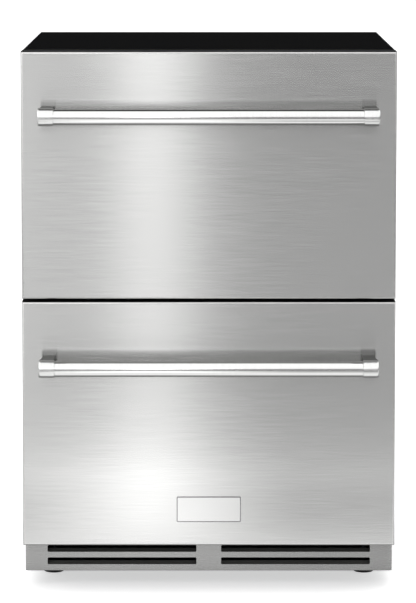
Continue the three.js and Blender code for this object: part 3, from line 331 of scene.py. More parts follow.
# The blades in the toe panel's slots are of the same ABS in a lighter grey.
grey_plastic = finish(
    "moulded_dark_grey_abs", ("#4c4c4a", "#525250"), (0.5, 0.6), 1.2 * MM, depth=0.03 * MM,
    Specular_IOR_Level=0.3)
# The sleeves are of the same steel as the bars, left with a softer satin. So is the bare plate.
satin_stainless = finish(
    "satin_304_stainless", ("#d7d7d6", "#dcdcdb"), (0.2, 0.25), 1.2 * MM, (1, 30, 30), Metallic=1)
# The stems behind the sleeves are cast stainless, bead-blasted and dull; their dark grey is painted shade for
# the shadow of the sleeves and bars.
shade_darkened_stainless = finish(
    "shade_darkened_cast_stainless", ("#7c7c7a", "#858583"), (0.34, 0.4), 1 * MM, depth=0.01 * MM,
    Metallic=1)
# The plate's raised edge is polished metal, darker than the plate as painted shade for the dark line round
# its edge.
shade_darkened_rim_metal = finish("shade_darkened_rim_plate", ("#8c8b8d", "#939294"), (0.14, 0.2), 1 * MM, Metallic=1)
# The toe panel is of the same steel as the fronts, brushed coarser; its darker grey is painted shade from the
# drawers' overhang above it.
overhang_shaded_brushed = finish(
    "overhang_shaded_brushed_430_stainless", ("#a4a4a3", "#acacab"), (0.24, 0.28), 1 * MM, (70, 70, 1), **BRUSHED)
# Black dipped enamel on a pressed steel shell: glossier than powder coat, with slow sags.
enamel = finish("black_dipped_enamel", ("#0f0f10", "#131314"), (0.24, 0.36), 18 * MM, depth=0.15 * MM)


# ---------------------------------------------------------------- modelling
def only(piece):
    bpy.ops.object.select_all(action="DESELECT")
    piece.select_set(True)
    bpy.context.view_layer.objects.active = piece


def settle(name):
    """Names the new primitive and puts its place, turn and size into its mesh."""
    piece = bpy.context.object
    bpy.ops.object.transform_apply(location=True, rotation=True, scale=True)
    piece.name = name
    piece.data.name = name
    return piece


def block(name, low, high):
    low, high = Vector(low), Vector(high)
    bpy.ops.object.select_all(action="DESELECT")
    bpy.ops.mesh.primitive_cube_add(size=1, location=(low + high) / 2, scale=high - low)
    return settle(name)


def rod(name, radius, start, end, sides=48):
    start, end = Vector(start), Vector(end)
    bpy.ops.object.select_all(action="DESELECT")
    bpy.ops.mesh.primitive_cylinder_add(
        vertices=sides,
        radius=radius,
        depth=(end - start).length,
        location=(start + end) / 2,
        rotation=(end - start).to_track_quat("Z", "Y").to_euler(),
    )
    return settle(name)


def post(name, radius, at, bottom, top, sides=48):
    """An upright rod over a place."""
    return rod(name, radius, (at.x, at.y, bottom), (at.x, at.y, top), sides)


def shape(piece, kind, pick, operator, **settings):
    """Runs an edit-mode operator on the piece's faces, edges or verts that pick accepts. Pick gets an
    element's middle, and a face's or vertex's normal or an edge's direction."""
    only(piece)
    bpy.context.tool_settings.mesh_select_mode = [kind == k for k in ("verts", "edges", "faces")]
    bpy.ops.object.mode_set(mode="EDIT")
    bpy.ops.mesh.select_all(action="DESELECT")
    mesh = bmesh.from_edit_mesh(piece.data)
    for element in getattr(mesh, kind):
        if kind == "verts":
            chosen = pick(element.co, element.normal)
        elif kind == "edges":
            a, b = (v.co for v in element.verts)
            chosen = pick((a + b) / 2, (b - a).normalized())
        else:
            chosen = pick(element.calc_center_bounds(), element.normal)
        if chosen:
            element.select_set(True)
    bmesh.update_edit_mesh(piece.data)
    operator(**settings)
    bpy.ops.object.mode_set(mode="OBJECT")


def everything(at, way):
    return True


def along(axis):
    """Picks the edges along an axis, or the faces square to it."""
    return lambda at, way: abs(getattr(way, axis)) > 0.9


def across(axis):
    """Picks the edges square to an axis, or the faces along it."""
    return lambda at, way: abs(getattr(way, axis)) < 0.1


def facing(axis, sign=1):
    """Picks the faces that look along an axis, or against it."""
    return lambda at, way: getattr(way, axis) * sign > 0.9


def level_with(axis, place):
    """Picks what lies at a place on an axis."""
    return lambda at, way: abs(getattr(at, axis) - place) < 0.01 * MM


def cut_away(piece, pick):
    """Deletes the faces that pick accepts."""
    shape(piece, "faces", pick, bpy.ops.mesh.delete, type="FACE")


def round_off(piece, pick, radius, segments=1):
    """Bevels the edges that pick accepts."""
    shape(piece, "edges", pick, bpy.ops.mesh.bevel, offset=radius, segments=segments)


def inset(piece, pick, margin, depth=0, each=False):
    """Draws the faces that pick accepts in by a margin, and sinks them where the depth is negative."""
    shape(piece, "faces", pick, bpy.ops.mesh.inset, thickness=margin, depth=depth, use_individual=each)


def pull(piece, pick, move):
    """Extrudes the faces that pick accepts."""
    shape(piece, "faces", pick, bpy.ops.mesh.extrude_region_move, TRANSFORM_OT_translate={"value": move})


def split(piece, axis, *places):
    """Cuts the piece's faces along planes at those places on an axis, and keeps both sides."""
    for place in places:
        normal = Vector((axis == "x", axis == "y", axis == "z"))
        shape(piece, "faces", everything, bpy.ops.mesh.bisect, plane_co=normal * place, plane_no=normal)


def modify(piece, kind, **settings):
    only(piece)
    made = piece.modifiers.new(kind.lower(), kind)
    for name, value in settings.items():
        setattr(made, name, value)
    bpy.ops.object.modifier_apply(modifier=made.name)


def thicken(piece, sheet, offset=-1):
    """Gives a folded sheet its thickness, to the inside unless the offset says otherwise."""
    modify(piece, "SOLIDIFY", thickness=sheet, offset=offset, use_even_offset=True)


def soften(piece, width, segments=2, angle=50):
    """Rounds all edges that are sharper than an angle in degrees."""
    modify(piece, "BEVEL", width=width, segments=segments, limit_method="ANGLE",
           angle_limit=math.radians(angle))


def combine(piece, operation, *tools):
    """Joins, cuts or intersects the piece with solid tools, which are used up."""
    for tool in tools:
        modify(piece, "BOOLEAN", operation=operation, object=tool, solver="EXACT")
        bpy.data.objects.remove(tool)


def join(piece, *others):
    """Puts separate closed shells into one object."""
    only(piece)
    for other in others:
        other.select_set(True)
    bpy.ops.object.join()
    return piece


def copy(piece, name, move=(0, 0, 0), turn=0, axis="Z", centre=(0, 0, 0)):
    """A copy with its own mesh, turned about a centre by degrees and then moved."""
    only(piece)
    bpy.ops.object.duplicate(linked=False)
    made = bpy.context.object
    made.name = name
    made.data.name = name
    middle = Matrix.Translation(Vector(centre))
    spun = middle @ Matrix.Rotation(math.radians(turn), 4, axis) @ middle.inverted()
    made.data.transform(Matrix.Translation(Vector(move)) @ spun)
    return made


def four_places(master, ending, drop, turn_z):
    """The upper right piece, then its copies at the upper left, lower right and lower left."""
    for prefix, move in (("upper", Vector()), ("lower", drop)):
        for side, turn in (("right", 0), ("left", 180)):
            piece = master
            if (prefix, side) != ("upper", "right"):
                piece = copy(master, f"{prefix}_{side}_{ending}", move, turn, "Y", (0, 0, turn_z))
            yield prefix, side, piece


def dress(piece, body, slot, *nodes, material=None, angle=35):
    """Shades the finished piece, gives it its material, puts it under its body's empty, and hides the CAD
    nodes that it takes the place of.
    """
    only(piece)
    bpy.ops.object.shade_smooth_by_angle(angle=math.radians(angle))
    modify(piece, "WEIGHTED_NORMAL", weight=100, keep_sharp=True)
    piece.data.materials.clear()
    piece.data.materials.append(material or materials[slot])
    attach(piece, body)
    if nodes:
        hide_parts(*nodes)


# ---------------------------------------------------------------- drawer fronts
SKIN_SHEET = 0.8 * MM
SKIN_EDGE = 3 * MM  # bend radius round the face
SKIN_RETURN = 6 * MM  # how far the skin turns in over the top and bottom


def front_skin(name, node):
    """A folded sheet: face, full-depth sides, and short returns over the top and bottom."""
    low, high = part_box(node)
    skin = block(name, low, high)
    cut_away(skin, facing("y"))
    split(skin, "y", low.y + SKIN_RETURN)
    cut_away(skin, lambda at, way: abs(way.z) > 0.9 and at.y > low.y + SKIN_RETURN)
    round_off(skin, level_with("y", low.y), SKIN_EDGE, 5)
    thicken(skin, SKIN_SHEET)
    return skin


for prefix in ("upper", "lower"):
    dress(front_skin(f"{prefix}_drawer_skin", f"{prefix}_front_skin"), f"{prefix}_drawer",
          "brushed_stainless", f"{prefix}_front_skin")

# ---------------------------------------------------------------- handles
BAR_RADIUS = 12.7 * MM
BAR_SIDES = 96
BAR_END_RING = 1.6 * MM
GROOVE = 1.2 * MM  # turned into the bar right before each sleeve
GROOVE_DEPTH = 0.9 * MM
SLEEVE_RADIUS = 14 * MM
SLEEVE_EDGE = 3 * MM  # the sleeve's outer end is turned down by this much
SOCKET_DEPTH = 6.5 * MM
STEM_WIDTH = 21 * MM
STEM_HEIGHT = 27.4 * MM
STEM_CORNER = 1.5 * MM
STEM_SHOULDER = 0.5 * MM  # sleeve's inner end to the stem, and its outer end to the stem's foot
FLARE_START = 8 * MM  # behind the bar's axis
FLARE_LENGTH = 26 * MM
FLARE_STEPS = 5


def handle_bar(name, node):
    """A round bar with turned ends, and a groove right before each sleeve."""
    low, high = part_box(node)
    y, z = (low.y + high.y) / 2, (low.z + high.z) / 2
    bar = rod(name, BAR_RADIUS, (low.x, y, z), (high.x, y, z), BAR_SIDES)
    inset(bar, along("x"), BAR_END_RING)
    round_off(bar, lambda at, way: abs(abs(at.x) - high.x) < 0.01 * MM
              and math.hypot(at.y - y, at.z - z) > BAR_RADIUS - 0.2 * MM, 0.4 * MM, 2)
    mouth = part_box("upper_handle_post_right")[0].x
    split(bar, "x", -mouth, GROOVE - mouth, mouth - GROOVE, mouth)
    inset(bar, lambda at, way: mouth - GROOVE < abs(at.x) < mouth and abs(way.x) < 0.1,
          0.1 * MM, -GROOVE_DEPTH)
    return bar


def handle_sleeve(name, node):
    """The right-hand sleeve: turned down at its outer end, and bored for the bar."""
    low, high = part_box(node)
    y, z = low.y + SLEEVE_RADIUS, (low.z + high.z) / 2
    sleeve = rod(name, SLEEVE_RADIUS, (low.x, y, z), (high.x, y, z), BAR_SIDES)
    round_off(sleeve, level_with("x", high.x), SLEEVE_EDGE, 4)
    round_off(sleeve, level_with("x", low.x), 0.5 * MM, 2)
    mouth, end = (low.x - OVERCUT, y, z), (low.x + SOCKET_DEPTH, y, z)
    combine(sleeve, "DIFFERENCE", rod("bore", BAR_RADIUS + FIT, mouth, end, BAR_SIDES))
    return sleeve


def handle_stem(name, node):
    """The right-hand stem: flat, flared out from the drawer front to the sleeve that it carries."""
    low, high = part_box(node)
    y, z = low.y + SLEEVE_RADIUS, (low.z + high.z) / 2
    left = low.x + STEM_SHOULDER
    right = left + STEM_WIDTH
    stem = block(name, (left, y, z - STEM_HEIGHT / 2), (right, high.y, z + STEM_HEIGHT / 2))
    rings = [y + FLARE_START + FLARE_LENGTH * k / FLARE_STEPS for k in range(FLARE_STEPS + 1)]
    split(stem, "y", *rings)
    for k, ring in enumerate([y] + rings[:FLARE_STEPS]):
        push = (high.x - STEM_SHOULDER - right) * (1 - max(k - 1, 0) / FLARE_STEPS) ** 2
        shape(stem, "verts", lambda at, way: at.x > right - 0.01 * MM and abs(at.y - ring) < 0.1 * MM,
              bpy.ops.transform.translate, value=(push, 0, 0))
    round_off(stem, along("y"), STEM_CORNER, 6)
    start, end = (low.x - OVERCUT, y, z), (high.x + OVERCUT, y, z)
    combine(stem, "DIFFERENCE", rod("seat", SLEEVE_RADIUS - 0.5 * MM, start, end, BAR_SIDES))
    return stem


bar_z = sum(corner.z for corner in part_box("upper_handle_bar")) / 2
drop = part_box("lower_handle_bar")[0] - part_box("upper_handle_bar")[0]
upper_bar = handle_bar("upper_bar", "upper_handle_bar")
for prefix, bar in (("upper", upper_bar), ("lower", copy(upper_bar, "lower_bar", drop))):
    dress(bar, f"{prefix}_drawer", "polished_stainless", f"{prefix}_handle_bar")
for ending, make, steel in (
    ("sleeve", handle_sleeve, satin_stainless),
    # the stems' dark grey is painted shade under the sleeves and bars
    ("stem", handle_stem, shade_darkened_stainless),
):
    master = make(f"upper_right_{ending}", "upper_handle_post_right")
    for prefix, side, piece in four_places(master, ending, drop, bar_z):
        dress(piece, f"{prefix}_drawer", "polished_stainless", f"{prefix}_handle_post_{side}",
              material=steel)

# ---------------------------------------------------------------- badge plate
RIM_WIDTH = 1.5 * MM
RIM_CORNER = 2 * MM
PLATE_DROP = 0.5 * MM  # edge's front to the plate's face
PLATE_CORNER = 0.8 * MM
low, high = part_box("badge_plate")
edge_in = Vector((RIM_WIDTH, 0, RIM_WIDTH))
through = Vector((0, OVERCUT, 0))
rim = block("plate_edge", low, high)
round_off(rim, along("y"), RIM_CORNER, 6)
opening = block("opening", low + edge_in - through, high - edge_in + through)
round_off(opening, along("y"), PLATE_CORNER, 4)
combine(rim, "DIFFERENCE", opening)
soften(rim, 0.3 * MM, angle=40)
# The edge's darker tone is painted shade.
dress(rim, "lower_drawer", "brushed_stainless", "badge_plate", material=shade_darkened_rim_metal)
plate = block("plain_plate", low + edge_in * 0.9 + Vector((0, PLATE_DROP, 0)), high - edge_in * 0.9)
round_off(plate, along("y"), PLATE_CORNER, 4)
round_off(plate, level_with("y", low.y + PLATE_DROP), 0.2 * MM)
dress(plate, "lower_drawer", "brushed_stainless", "badge_plate", material=satin_stainless)

# ---------------------------------------------------------------- toe panel
TOE_SHEET = 1.5 * MM
TOE_CORNER = 4 * MM
SLOT_NEAR = 20 * MM  # ends of the right bank's slots
SLOT_FAR = 262 * MM
SLOT_LOW = 37.4 * MM
SLOT_HIGH = 48.8 * MM
ROW_STEP = 20.5 * MM
BANK_STEP = 282 * MM
BLADE_DEPTH = 7 * MM
BLADE_RISE = 5 * MM
BLADE_SHEET = 1.2 * MM
slot_moves = [(0, 0, ROW_STEP), (-BANK_STEP, 0, 0), (-BANK_STEP, 0, ROW_STEP)]
low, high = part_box("toe_grille")
toe = block("toe_panel", low, high)
cut_away(toe, facing("y"))
round_off(toe, along("y"), TOE_CORNER, 6)
round_off(toe, level_with("y", low.y), 0.8 * MM, 3)
thicken(toe, TOE_SHEET)
slot = block("slot", (SLOT_NEAR, low.y - OVERCUT, SLOT_LOW), (SLOT_FAR, high.y + OVERCUT, SLOT_HIGH))
round_off(slot, along("y"), 2 * MM, 4)
combine(toe, "DIFFERENCE", slot, *[copy(slot, "slot", move) for move in slot_moves])
# The toe panel's darker grey is painted shade from the drawers' overhang.
dress(toe, "cabinet", "brushed_stainless", "toe_grille", material=overhang_shaded_brushed)
sheet_back = low.y + TOE_SHEET
blade = block("slot_blades", (SLOT_NEAR, sheet_back, SLOT_LOW - BLADE_SHEET),
              (SLOT_FAR, sheet_back + BLADE_DEPTH, SLOT_LOW))
shape(blade, "verts", level_with("y", sheet_back + BLADE_DEPTH), bpy.ops.transform.translate,
      value=(0, 0, BLADE_RISE))
round_off(blade, lambda at, way: abs(way.x) > 0.9 and at.y > sheet_back + 1 * MM, 0.4 * MM, 2)
join(blade, *[copy(blade, "blade", move) for move in slot_moves])
dress(blade, "cabinet", "dark_plastic", material=grey_plastic)

# ---------------------------------------------------------------- cabinet
WRAPPER_SHEET = 1.2 * MM
WRAPPER_EDGE = 3 * MM
low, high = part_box("cabinet_wrapper")
wrapper = block("wrapper", low, high)
cut_away(wrapper, lambda at, way: abs(way.y) > 0.9 or way.z < -0.9)
round_off(wrapper, lambda at, way: abs(way.y) > 0.9 and at.z > high.z - 0.01 * MM, WRAPPER_EDGE, 5)
thicken(wrapper, WRAPPER_SHEET)
dress(wrapper, "cabinet", "black_cabinet_paint", "cabinet_wrapper")

# ---------------------------------------------------------------- drawers behind their fronts
PANEL_SHEET = 2.5 * MM
PLUG_HALF = 240 * MM
PLUG_DEPTH = 14 * MM
PLUG_EDGE = 6 * MM
GASKET_WIDTH = 13 * MM
GASKET_GROOVE = 2.2 * MM
BIN_WALL = 2.5 * MM
BIN_RIM = 6 * MM
BIN_RIM_THICKNESS = 3 * MM
BIN_CORNER = 14 * MM
BIN_FLOOR_EDGE = 6 * MM
RIB_PLACES = [side * (30 + 60 * k) * MM for side in (-1, 1) for k in range(3)]
RIB_HALF = 4 * MM
RIB_INSET = 30 * MM  # bin's ends to the ribs
RIB_DEPTH = 1.2 * MM


def inner_panel(name, node, bin_node):
    """A formed sheet that closes the front's back, top and bottom, with a plug on its back."""
    low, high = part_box(node)
    back = high.y - PLUG_DEPTH
    bottom, top = (corner.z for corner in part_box(bin_node))
    panel = block(name, low, (high.x, back, high.z))
    cut_away(panel, lambda at, way: way.y < -0.9 or abs(way.x) > 0.9)
    split(panel, "x", -PLUG_HALF, PLUG_HALF)
    split(panel, "z", bottom, top)
    pull(panel, lambda at, way: way.y > 0.9 and abs(at.x) < 1 * MM and bottom < at.z < top,
         (0, PLUG_DEPTH, 0))
    round_off(panel, lambda at, way: at.y > back + 1 * MM, PLUG_EDGE, 4)
    round_off(panel, lambda at, way: abs(way.x) > 0.9 and abs(at.y - back) < 0.1 * MM
              and (at.z < low.z + 0.1 * MM or at.z > high.z - 0.1 * MM), 2 * MM, 3)
    thicken(panel, PANEL_SHEET)
    return panel


def door_gasket(name, node):
    """A rubber ring with a groove round its outside and its inside, between a dart and a soft bulb."""
    low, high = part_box(node)
    middle = (low + high) / 2
    ring = block(name, low, high)
    inset(ring, along("y"), GASKET_WIDTH, each=True)
    shape(ring, "faces", lambda at, way: abs(way.y) > 0.9 and (at - middle).xz.length < 1 * MM,
          bpy.ops.mesh.bridge_edge_loops)
    shape(ring, "faces", everything, bpy.ops.mesh.normals_make_consistent, inside=False)
    inset(ring, across("y"), 1.7 * MM, -GASKET_GROOVE)
    soften(ring, 0.7 * MM)
    return ring


def drawer_bin(name, node):
    """A moulded tub with rounded corners, pressed floor ribs and a rim folded out over the runners."""
    low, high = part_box(node)
    half = high.x - BIN_RIM
    tub = block(name, (-half, low.y, low.z), (half, high.y, high.z))
    cut_away(tub, facing("z"))
    split(tub, "x", *[place + edge for place in RIB_PLACES for edge in (-RIB_HALF, RIB_HALF)])
    split(tub, "y", low.y + RIB_INSET, high.y - RIB_INSET)
    inset(tub, lambda at, way: way.z < -0.9 and abs(at.y - (low.y + high.y) / 2) < 1 * MM
          and any(abs(at.x - place) < 1 * MM for place in RIB_PLACES), 1 * MM, -RIB_DEPTH, each=True)
    round_off(tub, lambda at, way: abs(way.z) > 0.9 and abs(at.x) > half - 0.1 * MM, BIN_CORNER, 6)
    round_off(tub, lambda at, way: at.z < low.z + 0.01 * MM and abs(way.z) < 0.1
              and (abs(at.x) > half - BIN_CORNER or at.y < low.y + 10 * MM or at.y > high.y - 10 * MM)
              and not (low.y + BIN_CORNER < at.y < high.y - BIN_CORNER and abs(at.x) < half - 0.1 * MM),
              BIN_FLOOR_EDGE, 4)
    thicken(tub, BIN_WALL)
    split(tub, "z", high.z - BIN_RIM_THICKNESS)
    for side in (-1, 1):
        pull(tub, lambda at, way: way.x * side > 0.99 and abs(at.x) > half - 0.01 * MM
             and at.z > high.z - BIN_RIM_THICKNESS, (side * BIN_RIM, 0, 0))
    return tub


for prefix in ("upper", "lower"):
    body = f"{prefix}_drawer"
    panel_node, gasket_node, bin_node = (f"{prefix}_{n}" for n in ("front_inner_panel", "gasket", "bin"))
    dress(inner_panel(f"{prefix}_inner_panel", panel_node, bin_node), body, "dark_plastic", panel_node)
    dress(door_gasket(f"{prefix}_door_gasket", gasket_node), body, "black_rubber", gasket_node)
    dress(drawer_bin(f"{prefix}_tub", bin_node), body, "bin_plastic", bin_node)

# ---------------------------------------------------------------- runners
RUNNER_SHEET = 1.5 * MM
RUNNER_HOLE = 2.6 * MM  # radius


def runner_member(node, opening):
    """A roll-formed channel, open to one side in X, with fixing holes along its web."""
    low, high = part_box(node)
    member = block(f"{node}_channel", low, high)
    cut_away(member, lambda at, way: abs(way.y) > 0.9 or way.x * opening > 0.9)
    web = low.x if opening > 0 else high.x
    round_off(member, lambda at, way: abs(way.y) > 0.9 and abs(at.x - web) < 0.1 * MM, 2 * MM, 4)
    thicken(member, RUNNER_SHEET)
    z = (low.z + high.z) / 2
    for share in (0.08, 0.36, 0.64, 0.92):
        y = low.y + share * (high.y - low.y)
        drill = rod("drill", RUNNER_HOLE, (web - 3 * MM, y, z), (web + 3 * MM, y, z), 24)
        combine(member, "DIFFERENCE", drill)
    return member


upper_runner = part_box("upper_right_cabinet_runner")
runner_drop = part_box("lower_right_cabinet_runner")[0] - upper_runner[0]
runner_z = sum(corner.z for corner in upper_runner) / 2
for member, opening in (("cabinet", -1), ("middle", -1), ("drawer", 1)):
    master = runner_member(f"upper_right_{member}_runner", opening)
    for prefix, side, piece in four_places(master, f"{member}_runner_channel", runner_drop, runner_z):
        node = f"{prefix}_{side}_{member}_runner"
        body = {"cabinet": "cabinet", "middle": node, "drawer": f"{prefix}_drawer"}[member]
        dress(piece, body, "runner_steel", node)

# ---------------------------------------------------------------- cabinet inside
LINER_SHEET = 2 * MM
LINER_EDGE = 8 * MM
low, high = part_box("liner")
housing_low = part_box("evaporator_housing")[0]
hump_front = housing_low.y - 3 * MM
hump_top = housing_low.z - FIT
liner = block("formed_liner", (low.x + LINER_SHEET, low.y, hump_top),
              (high.x - LINER_SHEET, high.y - LINER_SHEET, high.z - LINER_SHEET))
cut_away(liner, facing("y", -1))
split(liner, "y", hump_front)
pull(liner, lambda at, way: way.z < -0.9 and at.y < hump_front, (0, 0, low.z + LINER_SHEET - hump_top))
cut_away(liner, level_with("y", low.y))
round_off(liner, lambda at, way: at.y > low.y + 1 * MM and not (
    abs(way.z) > 0.9 and abs(at.y - hump_front) < 0.1 * MM and at.z > hump_top) and not (
    abs(way.x) > 0.9 and abs(at.y - hump_front) < 0.1 * MM and at.z > hump_top + 1 * MM), LINER_EDGE, 4)
thicken(liner, LINER_SHEET, offset=1)
dress(liner, "cabinet", "white_liner", "liner")

liner_wall = Vector((LINER_SHEET, 0, LINER_SHEET))
low_hole, high_hole = low + liner_wall, high - liner_wall
low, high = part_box("face_frame")
frame_plate = block("front_frame", low, high)
window = block("window", (low_hole.x, low.y - OVERCUT, low_hole.z),
               (high_hole.x, high.y + OVERCUT, high_hole.z))
round_off(window, along("y"), 4 * MM, 5)
combine(frame_plate, "DIFFERENCE", window)
soften(frame_plate, 0.3 * MM)
dress(frame_plate, "cabinet", "black_cabinet_paint", "face_frame")

low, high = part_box("mullion")
crossbar = block("divider_bar", low, high)
cut_away(crossbar, lambda at, way: way.y > 0.9 or abs(way.x) > 0.9)
round_off(crossbar, lambda at, way: abs(way.x) > 0.9 and at.y < low.y + 0.1 * MM, 2.5 * MM, 5)
thicken(crossbar, 1.5 * MM)
dress(crossbar, "cabinet", "black_cabinet_paint", "mullion")

# ---------------------------------------------------------------- controls and light
HOUSING_WALL = 2 * MM
POCKET = 1.9 * MM  # depth of the pockets for the display's pane and the light's cover
CAP_LIP = 1.5 * MM  # round each button's cap, behind the housing's wall
FLUTE = 3 * MM
low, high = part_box("control_housing")
housing = block("control_box", low, high)
cut_away(housing, facing("z"))
round_off(housing, lambda at, way: abs(way.z) > 0.9 or at.z < low.z + 0.1 * MM, 2 * MM, 4)
thicken(housing, HOUSING_WALL)
pane_low, pane_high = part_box("display_window")
lens_low, lens_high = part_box("light_lens")
cuts = [block("cut", (pane_low.x - FIT, low.y - OVERCUT, pane_low.z - FIT),
              (pane_high.x + FIT, low.y + POCKET, pane_high.z + FIT))]
lip = Vector((CAP_LIP, 0, CAP_LIP))
caps = {}
for name in ("power_button", "warmer_button", "colder_button"):
    cap_low, cap_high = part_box(name)
    caps[name] = (cap_low + lip, cap_high - lip)
    cuts.append(block("cut", (caps[name][0].x - FIT, low.y - OVERCUT, caps[name][0].z - FIT),
                      (caps[name][1].x + FIT, low.y + 6 * MM, caps[name][1].z + FIT)))
cuts.append(block("cut", (lens_low.x - FIT, lens_low.y - FIT, low.z - OVERCUT),
                  (lens_high.x + FIT, lens_high.y + FIT, low.z + POCKET)))
combine(housing, "DIFFERENCE", *cuts)
dress(housing, "cabinet", "dark_plastic", "control_housing")

for name, (cap_low, cap_high) in caps.items():
    cap = block(f"{name}_cap", cap_low, cap_high)
    round_off(cap, along("y"), 1.6 * MM, 4)
    round_off(cap, level_with("y", cap_low.y), 0.6 * MM, 3)
    flange = block("lip", cap_low - lip + Vector((0, cap_high.y - CAP_LIP - cap_low.y, 0)), cap_high + lip)
    combine(cap, "UNION", flange)
    dress(cap, name, "button_plastic", name)

pane = block("display_pane", pane_low, pane_high)
round_off(pane, along("y"), 0.8 * MM, 3)
round_off(pane, level_with("y", pane_low.y), 0.4 * MM, 2)
dress(pane, "cabinet", "smoked_window", "display_window")

lens = block("light_cover", lens_low, lens_high)
round_off(lens, along("z"), 2 * MM, 4)
round_off(lens, level_with("z", lens_low.z), 0.8 * MM, 3)
split(lens, "y", *[lens_low.y + k * FLUTE for k in range(1, 8)])
inset(lens, lambda at, way: way.z < -0.9 and int((at.y - lens_low.y) / FLUTE) % 2 == 1,
      0.6 * MM, -0.5 * MM, each=True)
dress(lens, "cabinet", "light_diffuser", "light_lens")

# ---------------------------------------------------------------- fans, about Z with the hub's middle at 0
FAN_RADIUS = 40 * MM
FAN_HOLE_RADIUS = 42.5 * MM
HUB_RADIUS = 14 * MM
HUB_HALF = 8 * MM
VANE_ROOT = 11 * MM
VANE_END = 42 * MM  # cut back to the fan's radius
VANE_HALF = 13 * MM
VANE_RINGS = [(14 + 4 * k) * MM for k in range(7)]
VANE_PITCH = 42  # degrees at the root
VANE_TWIST = 2.2  # degrees from ring to ring
CAN_RADIUS = 22 * MM
CAN_STEP = 3 * MM  # from one of its ribs' edges to the next
MOTOR_FRONT = -12 * MM
MOTOR_BACK = -42 * MM
SHAFT_RADIUS = 2.5 * MM
BORE_RADIUS = 2.8 * MM
ARM_REACH = 52.5 * MM
ARM_HALF = 5 * MM
ARM_SHEET = 3 * MM


def fan_blade():
    """A moulded hub with a domed nose and five vanes that flatten towards their tips."""
    vane = block("vane", (VANE_ROOT, -VANE_HALF, -0.8 * MM), (VANE_END, VANE_HALF, 0.8 * MM))
    split(vane, "x", *VANE_RINGS)
    for k, ring in enumerate([VANE_ROOT] + VANE_RINGS + [VANE_END]):
        shape(vane, "verts", lambda at, way: abs(at.x - ring) < 0.5 * MM, bpy.ops.transform.rotate,
              value=-math.radians(VANE_PITCH - VANE_TWIST * k), orient_axis="X",
              center_override=(ring, 0, 0))
    combine(vane, "INTERSECT", post("tips", FAN_RADIUS, Vector(), -30 * MM, 30 * MM, 96))
    hub = post("fan_blade", HUB_RADIUS, Vector(), -HUB_HALF, HUB_HALF, 64)
    round_off(hub, level_with("z", HUB_HALF), 4 * MM, 5)
    combine(hub, "UNION", *[copy(vane, "vane", turn=72 * k) for k in range(5)])
    bpy.data.objects.remove(vane)
    combine(hub, "DIFFERENCE", post("bore", BORE_RADIUS, Vector(), -2 * HUB_HALF, 2 * HUB_HALF, 24))
    return hub


def fan_motor():
    """A pressed can with cooling ribs, on a four-armed bracket with feet."""
    can = post("fan_motor", CAN_RADIUS, Vector(), MOTOR_BACK, MOTOR_FRONT, 64)
    round_off(can, across("z"), 3 * MM, 4)
    split(can, "z", *[MOTOR_BACK + k * CAN_STEP for k in range(3, 8)])
    inset(can, lambda at, way: abs(way.z) < 0.1 and int((at.z - MOTOR_BACK) / CAN_STEP) in (3, 5),
          0.5 * MM, -0.8 * MM)
    shaft = post("shaft", SHAFT_RADIUS, Vector(), MOTOR_BACK + 1 * MM, HUB_HALF - 1 * MM, 24)
    arm = block("arm", (-ARM_REACH, -ARM_HALF, MOTOR_BACK), (ARM_REACH, ARM_HALF, MOTOR_BACK + ARM_SHEET))
    for side in (-1, 1):
        shape(arm, "faces", facing("z"), bpy.ops.mesh.bisect,
              plane_co=(side * (ARM_REACH - ARM_SHEET), 0, 0), plane_no=(1, 0, 0))
    pull(arm, lambda at, way: way.z > 0.9 and abs(at.x) > ARM_REACH - ARM_SHEET,
         (0, 0, -MOTOR_BACK - ARM_SHEET - FIT))
    combine(can, "UNION", shaft, copy(arm, "arm", turn=90), arm)
    soften(can, 0.4 * MM, angle=60)
    return can


blade_master = fan_blade()
motor_master = fan_motor()
# Five vanes aren't level about their hub, so a fan is placed by its joint and not by its box.
pivots = {joint["child"]: Vector(joint["pos_m"]) for joint in frame["joints"] if "pos_m" in joint}
for name, axis in (("condenser", "Y"), ("evaporator", "X")):
    place = pivots[f"{name}_fan"]
    blade = copy(blade_master, f"{name}_rotor", place, 90, axis)
    dress(blade, f"{name}_fan", "dark_plastic", f"{name}_fan_blade", angle=30)
    motor = copy(motor_master, f"{name}_motor_can", place, 90, axis)
    dress(motor, "cabinet", "galvanised_steel", f"{name}_fan_motor")
bpy.data.objects.remove(blade_master)
bpy.data.objects.remove(motor_master)

# ---------------------------------------------------------------- coils
TUBE_RADIUS = 4 * MM
BEND_RADIUS = 11 * MM
BEND_STEPS = 8
BEND_ROOM = 13 * MM  # past the fins, besides the bend's radius
FIN_SHEET = 0.3 * MM
END_SHEET = 1.2 * MM
UNDER_FINS = 0.12  # share of the coil's height


def tube(name, radius, points, corner):
    """A bent metal tube through the points, with each bend rounded to the corner's radius."""
    line = bpy.data.curves.new(name, "CURVE")
    line.dimensions = "3D"
    line.bevel_depth = radius
    line.bevel_resolution = 5
    line.use_fill_caps = True
    points = [Vector(p) for p in points]
    path = [points[0]]
    for before, at, after in zip(points, points[1:], points[2:]):
        into, out = (at - before).normalized(), (after - at).normalized()
        bend = into.angle(out)
        reach = corner * math.tan(bend / 2)
        axis = into.cross(out).normalized()
        inward = axis.cross(into)
        hub = at - into * reach + inward * corner
        for step in range(BEND_STEPS + 1):
            turn = Matrix.Rotation(bend * step / BEND_STEPS, 4, axis)
            path.append(hub + turn @ (-inward * corner))
    path.append(points[-1])
    spline = line.splines.new("POLY")
    spline.points.add(len(path) - 1)
    for point, place in zip(spline.points, path):
        point.co = (*place, 1)
    made = bpy.data.objects.new(name, line)
    bpy.context.scene.collection.objects.link(made)
    only(made)
    bpy.ops.object.convert(target="MESH")
    return bpy.context.object


